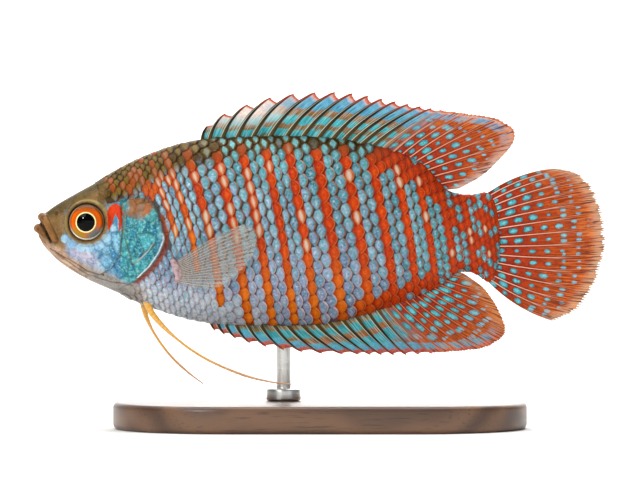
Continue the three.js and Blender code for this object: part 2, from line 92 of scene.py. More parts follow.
def lineDistance(line, x, z):
    # distance to a polyline in side view, signed by which side of it a point is on, and how far along it is
    line = np.array(line, float)
    best = np.full(np.shape(x), 1e9)
    side = np.ones_like(best)
    where = np.zeros_like(best)
    for i in range(len(line) - 1):
        (ax, az), (bx, bz) = line[i], line[i + 1]
        dx, dz = bx - ax, bz - az
        t = np.clip(((x - ax) * dx + (z - az) * dz) / (dx * dx + dz * dz), 0, 1)
        distance = np.hypot(x - ax - t * dx, z - az - t * dz)
        near = distance < best
        best = np.where(near, distance, best)
        side = np.where(near, np.sign(dx * (z - az) - dz * (x - ax)), side)
        where = np.where(near, (i + t) / (len(line) - 1), where)
    return best, side * best, where


def nearLine(line, x, z, width):
    # 1 on a polyline, fading away on both sides of it
    return bump(lineDistance(line, x, z)[0], width)


def gridQuads(rows, cols, closed=False):
    # the quads of a grid of points; a closed one joins its last column to its first
    index = np.arange(rows * cols).reshape(rows, cols)
    if closed:
        index = np.concatenate([index, index[:, :1]], 1)
    return np.stack([index[:-1, :-1], index[:-1, 1:], index[1:, 1:], index[1:, :-1]], -1).reshape(-1, 4)


def inScene(name, data):
    made = bpy.data.objects.new(name, data)
    bpy.context.scene.collection.objects.link(made)
    return made


def sheetQuads(rows, cols):
    # a closed sheet: the points of one face, then those of the other, and a rim between
    count = rows * cols
    index = np.arange(count).reshape(rows, cols)
    top = gridQuads(rows, cols)
    edge = np.concatenate([index[0, :-1], index[:-1, -1], index[-1, :0:-1], index[:0:-1, 0]])
    after = np.roll(edge, -1)
    rim = np.stack([edge, edge + count, after + count, after], -1)
    return np.concatenate([top, top[:, ::-1] + count, rim])


def makeObject(name, points, quads, material, vectors=None, cornerMaps=None, standing=False):
    # a smooth mesh that rides on the frame, from points in millimetres; a quad whose last two points are one
    # is a triangle
    points = np.asarray(points, float).reshape(-1, 3)
    quads = np.asarray(quads, int)
    a, b, c, d = (points[quads[:, k]] for k in range(4))
    volume = (np.cross(a, b) * c).sum() + (np.cross(a, c) * d).sum()
    if volume < 0:
        turned = [2, 1, 0, 3]
        quads = quads[:, turned]
        cornerMaps = {key: value[:, turned] for key, value in (cornerMaps or {}).items()}
    used = np.ones(quads.shape, bool)
    used[:, 3] = (quads[:, 3] != quads[:, 2]) & (quads[:, 3] != quads[:, 0])
    corners = quads[used]
    starts = np.concatenate([[0], np.cumsum(used.sum(1))[:-1]])
    mesh = bpy.data.meshes.new(name)
    mesh.vertices.add(len(points))
    lifted = points + [0, 0, 0 if standing else axisHeight]
    mesh.vertices.foreach_set("co", (lifted * millimetre).astype(np.float32).ravel())
    mesh.loops.add(len(corners))
    mesh.loops.foreach_set("vertex_index", corners.astype(np.int32))
    mesh.polygons.add(len(quads))
    mesh.polygons.foreach_set("loop_start", starts.astype(np.int32))
    mesh.polygons.foreach_set("use_smooth", np.ones(len(quads), bool))
    mesh.update(calc_edges=True)
    for key, value in (vectors or {}).items():
        layer = mesh.attributes.new(key, "FLOAT_VECTOR", "POINT")
        layer.data.foreach_set("vector", np.asarray(value, np.float32).ravel())
    for key, value in (cornerMaps or {}).items():
        layer = mesh.uv_layers.new(name=key)
        layer.data.foreach_set("uv", np.asarray(value, np.float32)[used].ravel())
    mesh.materials.append(material)
    made = inScene(name.replace(" ", "_"), mesh)
    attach(made, "root")
    return made


def tube(path, halfHeight, halfThick, sides=12):
    # rings round a path, by half their height in side view and half their thickness across the fish
    t = np.linspace(0, 1, len(path))
    tangent = np.gradient(path, axis=0)
    tangent /= np.linalg.norm(tangent, axis=1, keepdims=True)
    across = np.array([0, 1, 0]) - tangent * tangent[:, 1:2]
    sideways = np.abs(tangent[:, 1]) > 0.9
    across[sideways] = (np.array([1, 0, 0]) - tangent * tangent[:, :1])[sideways]
    across /= np.linalg.norm(across, axis=1, keepdims=True)
    up = np.cross(tangent, across)
    angle = circle(sides)
    ring = (across[:, None] * (halfThick(t)[:, None] * np.cos(angle))[..., None]
            + up[:, None] * (halfHeight(t)[:, None] * np.sin(angle))[..., None])
    return path[:, None] + ring


def cappedTube(rings):
    # points and quads of closed rings, with a point in the middle of each end; the ends are triangles
    rows, cols = rings.shape[:2]
    points = np.concatenate([rings.reshape(-1, 3), [rings[0].mean(0), rings[-1].mean(0)]])
    quads = [gridQuads(rows, cols, True)]
    for cap, row in ((0, 0), (1, rows - 1)):
        first = row * cols + np.arange(cols)
        second = np.roll(first, -1)
        quads.append(np.stack([np.full(cols, rows * cols + cap), first, second, second], -1))
    return points, np.concatenate(quads)


# The body's outlines, in millimetres from the snout at -42.9 to the root of the tail fin at 27

backZ = through([
    [-42.2, 1.4], [-41.6, 3.6], [-40.5, 4.7], [-38.7, 5.9], [-33.3, 8.9], [-27.9, 11.9], [-22.5, 14.0],
    [-18.0, 15.0], [-10.5, 15.5], [-1.5, 15.5], [6.0, 14.6], [12.0, 13.1], [16.2, 10.8], [19.0, 7.6],
    [22.0, 6.8], [25.0, 7.2], [27.0, 7.6]])
bellyZ = through([
    [-42.2, 0.4], [-41.4, -1.0], [-40.5, -2.0], [-38.7, -3.7], [-35.1, -5.9], [-31.5, -7.5], [-26.1, -9.8],
    [-18.0, -12.2], [-9.0, -12.75], [-1.5, -12.7], [4.5, -11.8], [9.0, -10.4], [15.0, -8.3], [18.0, -6.75],
    [20.7, -4.8], [23.0, -4.9], [25.0, -6.2], [27.0, -7.4]])
halfWidth = through([
    [-42.2, 0.9], [-41.4, 1.9], [-40.0, 2.7], [-37.5, 3.8], [-34.0, 4.8], [-30.0, 5.6], [-25.0, 6.2],
    [-17.0, 6.3], [-8.0, 6.0], [0.0, 5.4], [8.0, 4.4], [14.0, 3.5], [20.0, 2.4], [25.0, 1.6], [27.0, 1.2]])
widestZ = through([
    [-42.2, 0.9], [-40.0, 1.4], [-34.0, 1.6], [-22.0, 1.4], [0.0, 1.4], [18.0, 0.9], [27.0, 0.3]])
backRidge = through([[-42.2, 0.5], [-30.0, 0.52], [-18.0, 0.62], [0.0, 0.68], [18.0, 0.64], [27.0, 0.5]])
bellyRidge = through([
    [-42.2, 0.5], [-30.0, 0.5], [-20.0, 0.54], [-12.0, 0.66], [0.0, 0.74], [18.0, 0.66], [27.0, 0.5]])
frontX, tailRoundX, tailRootX = -42.2, 24.9, 27.0


def sectionPoint(x, angle, grow=0.0):
    # half width and height of the body's surface at a station; the angle is 0 at the widest level
    past = np.clip((x - tailRoundX) / (tailRootX - tailRoundX), 0, 1)
    end = np.sqrt(np.maximum(0.02, 1 - past * past))
    middle = widestZ(x)
    upper = angle >= 0
    reach = np.where(upper, backZ(x) - middle, middle - bellyZ(x)) * end + grow
    ridge = 2 * np.where(upper, backRidge(x), bellyRidge(x))
    width = (halfWidth(x) * end + grow) * np.maximum(np.cos(angle), 0) ** ridge
    return width, middle + reach * np.sin(angle)


# A table of how far round the body each angle lies, so that scales can be laid by true distance
stationCount, angleCount, roundCount, roundReach = 500, 241, 401, 20
stationX = np.linspace(frontX, tailRootX, stationCount)
stationAngle = np.linspace(-np.pi / 2, np.pi / 2, angleCount)
roundY, roundZ = sectionPoint(stationX[:, None], stationAngle[None, :])
stepsRound = np.hypot(np.diff(roundY, axis=1), np.diff(roundZ, axis=1))
distanceRound = np.concatenate([np.zeros((stationCount, 1)), np.cumsum(stepsRound, 1)], 1)
distanceRound -= distanceRound[:, [angleCount // 2]]
roundGrid = np.linspace(-roundReach, roundReach, roundCount)
angleTable = np.stack([np.interp(roundGrid, d, stationAngle) for d in distanceRound])


def angleAt(x, s):
    # looked up between the table's four nearest places
    i = np.clip((x - frontX) / (tailRootX - frontX) * (stationCount - 1), 0, stationCount - 1.001)
    j = np.clip((s / roundReach + 1) / 2 * (roundCount - 1), 0, roundCount - 1.001)
    i0, j0 = i.astype(int), j.astype(int)
    f, g = i - i0, j - j0
    low = angleTable[i0, j0] * (1 - g) + angleTable[i0, j0 + 1] * g
    high = angleTable[i0 + 1, j0] * (1 - g) + angleTable[i0 + 1, j0 + 1] * g
    return low * (1 - f) + high * f


def surfaceAt(x, s):
    # the right side's surface at x and at distance s round it from the widest level
    width, z = sectionPoint(x, angleAt(x, s))
    return np.stack([np.broadcast_to(x, width.shape), width, z], -1)


def surfaceWithNormal(x, s, step=0.08):
    ahead = surfaceAt(x + step, s) - surfaceAt(x - step, s)
    around = surfaceAt(x, s + step) - surfaceAt(x, s - step)
    normal = np.cross(around, ahead)
    normal /= np.maximum(np.linalg.norm(normal, axis=-1, keepdims=True), 1e-9)
    return surfaceAt(x, s), normal


def roundFromHeight(x, z):
    # distance round the body at which its surface has height z
    middle = widestZ(x)
    reach = np.where(z >= middle, backZ(x) - middle, middle - bellyZ(x))
    angle = np.arcsin(np.clip((z - middle) / reach, -1, 1))
    i = np.round((x - frontX) / (tailRootX - frontX) * (stationCount - 1)).astype(int)
    i = np.clip(i, 0, stationCount - 1)
    j = (angle / np.pi + 0.5) * (angleCount - 1)
    j0 = np.clip(j.astype(int), 0, angleCount - 2)
    return distanceRound[i, j0] * (1 - j + j0) + distanceRound[i, j0 + 1] * (j - j0)


def sideY(x, z):
    # half the body's width at a place in side view
    return surfaceAt(x, roundFromHeight(x, z))[..., 1]


# The head's relief and the whole body's markings, as functions of a place in side view

eye = {"x": -34.65, "z": 2.62, "radius": 2.6, "depth": 1.9, "bulge": 1.0, "yaw": 0.08}
gillEdge = [[-29.2, 6.0], [-27.4, 6.3], [-25.6, 6.0], [-24.3, 4.2], [-23.4, 2.2], [-23.0, 0.1], [-23.8, -1.9],
            [-25.2, -3.9], [-27.0, -5.6], [-29.6, -6.9], [-33.0, -6.9]]
cheekEdge = [[-29.6, 5.2], [-29.3, 1.5], [-29.7, -2.2], [-31.0, -4.2], [-33.2, -5.3], [-36.5, -5.2]]
jawLine = [[-40.4, -1.3], [-38.6, -2.4], [-36.7, -3.4], [-34.8, -4.6], [-32.3, -5.3]]
eyePlates = [[-38.0, 0.2, 0.66], [-36.9, -0.62, 0.72], [-35.55, -1.1, 0.72], [-34.25, -1.14, 0.68],
             [-32.85, -0.78, 0.74], [-31.7, 0.3, 0.7], [-30.75, 1.75, 0.5]]
gillRidge = [[-29.1, 0.8], [-27.8, -3.7], [-24.2, -0.4]]
maxilla = [[-41.3, 3.5], [-40.5, 2.0], [-39.6, 0.1]]
mouthCleft = [[-42.0, 2.75], [-41.3, 2.0], [-40.7, 0.8], [-40.1, -0.3]]
nostril = [-39.4, 3.9]
headEndX = -20




def beads(x, z):
    # the domed plates below the eye, 0 at their edges and 1 at their middles
    domes = [1 - ((x - cx) ** 2 + (z - cz) ** 2) / r ** 2 for cx, cz, r in eyePlates]
    return np.clip(np.maximum.reduce(domes), 0, 1)


def relief(x, z):
    # how far the skin of the head stands out of the plain body
    radius = np.hypot(x - eye["x"], z - eye["z"])
    rise = 0.3 * bump(radius - 3.0, 0.3) - 0.14 * bump(radius - 3.65, 0.3)
    distance, signed, where = lineDistance(gillEdge, x, z)
    fade = smoothStep(0.02, 0.2, where) * (1 - smoothStep(0.86, 1, where))
    inner = 0.3 * np.clip(1 - distance / 6.5, 0, 1) ** 1.3 + 0.07 * bump(distance - 0.35, 0.22)
    outer = 0.3 * (1 - smoothStep(0.0, 0.22, distance)) - 0.16 * bump(distance - 0.5, 0.3)
    rise = rise + np.where(signed < 0, inner, outer) * fade
    distance, signed, where = lineDistance(cheekEdge, x, z)
    rise += 0.16 * bump(distance, np.where(signed < 0, 0.9, 0.1)) - 0.2 * bump(signed - 0.2, 0.22)
    signed = lineDistance(jawLine, x, z)[1]
    rise += 0.1 * bump(signed - 0.28, 0.25) - 0.2 * bump(signed, 0.16)
    rise += 0.16 * np.sqrt(beads(x, z)) * (radius > 3.05)
    rise -= 0.13 * nearLine(gillRidge, x, z, 0.16)
    distance = lineDistance(maxilla, x, z)[0]
    rise += 0.3 * bump(distance, 0.4) - 0.14 * bump(distance - 0.62, 0.16)
    rise -= 0.3 * nearLine(mouthCleft, x, z, 0.17)
    distance = np.hypot(x - nostril[0], z - nostril[1])
    rise += 0.12 * bump(distance - 0.36, 0.14) - 0.4 * bump(distance, 0.2)
    return rise * (x < headEndX)


barMiddles = np.array([
    -21.0, -18.75, -15.98, -12.23, -8.7, -5.4, -2.1, 1.95, 6.15, 10.05, 13.5, 16.5, 19.5, 22.65, 25.05])
barLean = through([[-24, 3.2], [-16, 2.2], [-5, 1.7], [25, 1.8]])  # mm forward at 9 mm up
lowerLean = 1.25  # the same for 9 mm down
barNumbers = np.linspace(-4, 16, 401)
barEnds = through(np.stack([np.concatenate([[-4, -2], np.arange(15), [16]]),
                            np.concatenate([[-30.6, -25.6], barMiddles, [29.6]])], 1))(barNumbers)
columnWidths = np.gradient(barEnds, barNumbers) / 3


def barShift(x, z):
    return np.where(z > 0, barLean(x) * z / 9, lowerLean * z / 9)


def barNumber(x, z):
    # which red bar a place belongs to, counted from behind the gill cover
    return np.interp(x + barShift(x, z), barEnds, barNumbers)


def barX(number, z):
    middle = np.interp(number, barNumbers, barEnds)
    x = middle
    for _ in range(3):
        x = middle - barShift(x, z)
    return x


# above the first line the back is olive, below the second the belly is pale
headTopLine = through([
    [-42.5, 2.4], [-39.5, 3.4], [-37.5, 5.0], [-35.0, 5.8], [-31.5, 5.6], [-28, 6.8], [-22, 10.4], [-10, 13.0],
    [0, 13.4], [8, 12.4], [14, 10.6], [19, 6.6], [27, 7.2]])
throatLine = through([
    [-42.5, 0.6], [-40, -1.8], [-36.5, -4.0], [-32, -6.3], [-26, -7.6], [-20, -8.6], [-10, -10.2], [5, -11.0],
    [27, -9]])
jawLimit = [[-42.6, 1.0], [-39.9, -0.5], [-36.8, -2.5], [-33.0, -4.2], [-28.5, -6.2], [-24, -8.2]]
# the red arch behind the eye: its top and its two arms, each with its half width at the start and the end
redPatches = [
    ([[-31.0, 3.9], [-30.85, 4.5], [-30.4, 4.8], [-29.95, 4.5], [-29.8, 3.9]], 0.62, 0.5),
    ([[-31.0, 4.2], [-31.1, 3.0], [-31.35, 1.6]], 0.62, 0.12),
    ([[-29.8, 4.2], [-29.6, 3.0], [-29.75, 1.5]], 0.42, 0.15)]
gillSkin = [
    [-24.2, 5.0], [-23.4, 3.4], [-22.7, 1.2], [-22.8, -0.4], [-23.8, -2.8], [-25.3, -4.6], [-27.2, -6.2]]
gillGlint = [[-27.7, -3.5], [-26.6, -2.7], [-25.4, -1.5], [-24.4, 0.0]]
paleSeam = [[-29.3, 5.3], [-29.0, 3.5], [-29.2, 1.2]]
lowerJawLines = [[[-40.6, -1.9], [-38.9, -3.1], [-37.0, -4.3], [-35.0, -5.5]],
                 [[-39.6, -1.9], [-37.8, -3.1], [-36.0, -4.3], [-33.6, -5.6], [-31.0, -6.2], [-28.6, -6.3]]]
zoneNames = [
    "number", "bar", "back", "lavender", "turquoise", "orange", "belly", "redGround", "snout", "crown", "jaw",
    "throat", "cheek", "blush", "gill", "gillTop", "orbit", "socket", "lip", "red", "membrane", "line",
    "shine", "cleft"]


def markings(x, z):
    # how much of each zone of colour a place in side view has, from 0 to 1; number counts the bars instead.
    # The limits here are places in millimetres that were read from the photo
    zones = {"number": barNumber(x, z)}
    nearest = np.clip(np.round(zones["number"]), -3, 14)
    low = np.interp(nearest, [-3, -1, 0, 1, 2, 3, 12, 13, 14], [6, 5.6, -0.6, -4.5, -9.0, -14, -14, -14, -3.2])
    high = np.interp(nearest, [-3, -2, -1, 0, 1, 2, 6, 9, 12, 13, 14],
                     [7.9, 8.6, 10.4, 11.8, 12.8, 13.6, 14.0, 13.4, 9.9, 9.0, 4.0])
    gillSide = lineDistance(gillEdge, x, z)[1]
    behind = np.where(z > 6.2, smoothStep(-31.5, -30.5, x - (z - 6) * 0.2), smoothStep(0.5, 1.0, gillSide))
    zones["bar"] = smoothStep(low - 0.6, low + 0.6, z) * (1 - smoothStep(high - 0.5, high + 0.5, z)) * behind
    zones["back"] = smoothStep(-1.6, 1.0, z - headTopLine(x)) * (1 - smoothStep(5, 12, x))
    zones["lavender"] = smoothStep(3, -9, z) * (1 - 0.7 * smoothStep(0, 16, x))
    zones["turquoise"] = np.maximum(smoothStep(6, 22, x), 0.9 * smoothStep(5, 11, z) * smoothStep(-20, -13, x))
    inFront = 1 - smoothStep(-17, -11, x)
    zones["orange"] = smoothStep(1, -10, z) * (1 - smoothStep(0, 12, x)) + 0.4 * (1 - smoothStep(-21, -17, x))
    zones["orange"] = np.minimum(zones["orange"] + 0.75 * inFront * smoothStep(4.5, 0, z), 1)
    zones["belly"] = smoothStep(-1.4, 2.0, throatLine(x) + 1.5 - z) * (1 - smoothStep(-16, 0, x)) * (x > -27)
    zones["redGround"] = np.maximum.reduce([
        smoothStep(17.5, 20.5, x), smoothStep(4.2, 2.2, backZ(x) - z) * smoothStep(5, 9.5, x),
        smoothStep(2.6, 0.8, z - bellyZ(x)) * smoothStep(0, 6, x)])
    tip = 1 - smoothStep(-38.4, -36.9, x)
    radius = np.hypot(x - eye["x"], z - eye["z"])
    top = smoothStep(4.0, 5.4, z + 0.25 * (x + 33))
    zones["snout"] = np.maximum.reduce([tip, top, bump(radius - 3.2, 0.6)]) * (1 - smoothStep(-33.0, -31.2, x))
    zones["snout"] = np.maximum(zones["snout"], smoothStep(3.7, 3.3, radius))
    zones["crown"] = zones["snout"] * smoothStep(2.6, 0.6, backZ(x) - z)
    jawSide = lineDistance(jawLimit, x, z)[1]
    zones["jaw"] = smoothStep(0.5, -0.6, jawSide) * (1 - smoothStep(-28, -25, x))
    zones["throat"] = zones["jaw"] * smoothStep(-37.5, -33, x)
    head = (1 - smoothStep(-24.5, -23, x)) * smoothStep(0.4, -0.1, gillSide)
    head = head * smoothStep(-0.6, 0.4, headTopLine(x) - z)
    zones["cheek"] = head * smoothStep(-38.5, -36.5, x) * smoothStep(-0.6, 0.8, jawSide) * (1 - top)
    zones["cheek"] *= smoothStep(3.15, 3.45, radius)
    zones["blush"] = zones["cheek"] * smoothStep(-31.5, -34.5, x) * smoothStep(3.2, 0.6, jawSide)
    zones["gill"] = head * smoothStep(-30.2, -29.2, x) * smoothStep(-0.6, 0.8, jawSide)
    zones["gillTop"] = zones["gill"] * (1 - smoothStep(1.0, 3.0, np.hypot(x + 26.6, (z - 4.9) * 1.1)))
    zones["orbit"] = smoothStep(0.03, 0.25, beads(x, z)) * (radius > 3.05)
    zones["socket"] = bump(radius - 3.3, 0.24) * (0.4 + 0.6 * smoothStep(1.5, 3.5, z - 0.5 * (x + 34)))
    zones["socket"] = np.maximum(zones["socket"], 0.8 * nearLine(paleSeam, x, z, 0.12))
    mouth = (1 - smoothStep(-41.6, -40.4, x)) * smoothStep(-2.2, -1.0, z)
    zones["lip"] = np.maximum(nearLine(maxilla, x, z, 0.5), mouth)
    zones["red"] = np.zeros_like(radius)
    for line, wide, narrow in redPatches:
        away, _, where = lineDistance(line, x, z)
        zones["red"] = np.maximum(zones["red"], smoothStep(1.2, 0.85, away / (wide + (narrow - wide) * where)))
    zones["red"] = zones["red"] * (radius > 2.95)
    away, _, where = lineDistance(gillSkin, x, z)
    zones["membrane"] = bump(away, 0.34) * smoothStep(0.06, 0.2, where)
    zones["line"] = np.maximum.reduce([
        *[0.7 * nearLine(line, x, z, 0.1) for line in lowerJawLines],
        *[share * nearLine(line, x, z, 0.12)
          for line, share in ((jawLine, 0.8), (cheekEdge, 0.6), (gillRidge, 0.7))],
        0.7 * bump(gillSide - 0.12, 0.16) * smoothStep(-1.0, 1.0, z), 0.6 * bump(radius - 2.84, 0.12),
        0.4 * bump(radius - 3.6, 0.08), 0.6 * bump(np.hypot(x - nostril[0], z - nostril[1]), 0.24),
        0.6 * bump(lineDistance(maxilla, x, z)[0] - 0.52, 0.1) * (x < -38)]) * (x < -21)
    away, _, where = lineDistance(gillGlint, x, z)
    lowerEdge = smoothStep(1.5, 0.0, z) * (z > -5.5) * (x > -28)
    zones["shine"] = np.maximum(0.55 * bump(away, 0.08) * np.sin(np.pi * where),
                                0.9 * bump(gillSide + 0.14, 0.075) * lowerEdge)
    zones["cleft"] = nearLine(mouthCleft, x, z, 0.16) * (x < -39)
    stack = [np.broadcast_to(zones[key], x.shape) for key in zoneNames]
    return {"zones%d" % k: np.stack(stack[3 * k:3 * k + 3], -1) for k in range(len(stack) // 3)}


# Materials. Colours are sRGB hex values, turned to linear here.

def linear(hexColour):
    parts = [int(hexColour[i:i + 2], 16) / 255 for i in (1, 3, 5)]
    return tuple(p / 12.92 if p <= 0.04045 else ((p + 0.055) / 1.055) ** 2.4 for p in parts) + (1.0,)


def scaleOf(size):
    # a texture's scale from the size of one of its features in millimetres
    return 1 / (size * millimetre)


def fill(tree, socket, value):
    # a link, a hex colour or a plain value goes into one socket
    if isinstance(value, bpy.types.NodeSocket):
        tree.links.new(value, socket)
    else:
        socket.default_value = linear(value) if isinstance(value, str) else value


# Short words for nodes: the type, its settings, the sockets that the inputs go to and the output that is used.
# Any other word is an operation of the maths node.
nodeWords = {
    "mix": ("Mix", {"data_type": "RGBA"}, (0, 6, 7), 2),
    "mixNumber": ("Mix", {}, (0, 2, 3), 0),
    "mixVector": ("Mix", {"data_type": "VECTOR"}, (0, 4, 5), 1),
    "range": ("MapRange", {}, range(5), 0),
    "noise": ("TexNoise", {}, ("Vector", "Scale", "Detail", "Roughness"), 0),
    "wave": ("TexWave", {}, ("Vector", "Scale", "Distortion", "Detail", "Detail Scale"), 1),
    "voronoi": ("TexVoronoi", {}, ("Vector", "Scale", "Randomness"), 0),
    "chance": ("TexWhiteNoise", {}, ("Vector",), 0),
    "chance1": ("TexWhiteNoise", {"noise_dimensions": "1D"}, ("W",), 0),
    "vector": ("VectorMath", {"operation": "MULTIPLY"}, range(3), 0),
    "join": ("CombineXYZ", {}, range(3), 0),
    "split": ("SeparateXYZ", {}, (0,), 0),
    "attribute": ("Attribute", {}, (), 1),
    "place": ("TexCoord", {}, (), 3),
    "map": ("UVMap", {}, (), 0),
    "ramp": ("ValToRGB", {}, (0,), 0),
    "bump": ("Bump", {}, ("Height", "Strength", "Distance"), 0)}


def addNode(tree, word, *inputs, output=None, stops=(), **settings):
    # one node with its settings and links, and the colours along a ramp; gives back one of its outputs
    if word in ("add", "multiply", "maximum") and len(inputs) > 2:
        inputs = (addNode(tree, word, *inputs[:-1]), inputs[-1])
    kind, fixed, sockets, wanted = nodeWords.get(word, ("Math", {"operation": word.upper()}, range(3), 0))
    made = tree.nodes.new("ShaderNode" + kind)
    for key, value in {**fixed, **settings}.items():
        setattr(made, key, value)
    for key, value in zip(sockets, inputs):
        fill(tree, made.inputs[key], value)
    elements = made.color_ramp.elements if stops else []
    while len(elements) < len(stops):
        elements.new(0.5)
    for element, (position, colour, *share) in zip(elements, stops):
        element.position = position
        element.color = linear(colour)[:3] + tuple(share or [1])
    return made.outputs[wanted if output is None else output]


def setSockets(material, **sockets):
    # the shader's sockets, by their names in camelCase
    tree = material.node_tree
    longer = {"Ior": "IOR", "Specular Level": "Specular IOR Level", "Coat Ior": "Coat IOR"}
    for key, value in sockets.items():
        words = "".join(" " + c if c.isupper() else c for c in key).title()
        fill(tree, tree.nodes["Principled BSDF"].inputs[longer.get(words, words)], value)


def newMaterial(name, **sockets):
    # a material and the function that adds nodes to it
    material = bpy.data.materials.new(name)
    material.use_nodes = True
    setSockets(material, **sockets)
    return material, functools.partial(addNode, material.node_tree)


def stored(add, key):
    # the three numbers that a mesh keeps under this name for each point
    return add("split", add("attribute", attribute_name=key)).node.outputs


def swayed(add, value, noise, amount):
    # a value moved up and down by a noise
    return add("multiply_add", add("subtract", noise, 0.5), amount, value)


def layered(add, colour, *layers):
    # colours laid over one another, each with its share
    for share, above in layers:
        colour = add("mix", share, colour, above)
    return colour


fieldColours = [
    ("", "#2A566C", "#90B2BE"), ("lavender", "#4E5C80", "#A4ACC4"), ("turquoise", "#1A5A62", "#62ACB2"),
    ("belly", "#A0A8BA", "#D8DADA")]
barColours = [("", "#981E00", "#CE4204"), ("orange", "#B04E04", "#E07A18")]
headColours = [
    ("snout", "#5C4622", "#96744A"), ("crown", "#3A2F18", "#68562C"), ("jaw", "#8A6850", "#CCB098"),
    ("throat", "#625F5C", "#A6A098"), ("cheek", "#2A7EAC", "#8CBAD2"), ("blush", "#9C90B0", "#D6CAD4"),
    ("gill", "#0A5A72", "#58B8B6")]
lineColours = [
    ("gillTop", "#4A4410", "#BC5E1A"), ("orbit", "#5E90BC", "#ACD0DC"), ("socket", "#6A5828", "#A69458"),
    ("lip", "#54351E", "#9C6C38"), ("red", "#A81C00", "#D83E08"), ("membrane", "#642818", "#A84E28"),
    ("line", "#38230F", "#54361C"), ("shine", "#D8E2E0", "#FFFFFF"), ("cleft", "#1E120A", "#3A2414")]


# sizes of the skin's patterns in millimetres
skinPattern = {"blotch": 10 / 7, "cell": 10 / 6.8, "warp": 10 / 9, "bend": 1.1, "patch": 2 / 3,
               "speck": 10 / 29, "relief": 0.05}


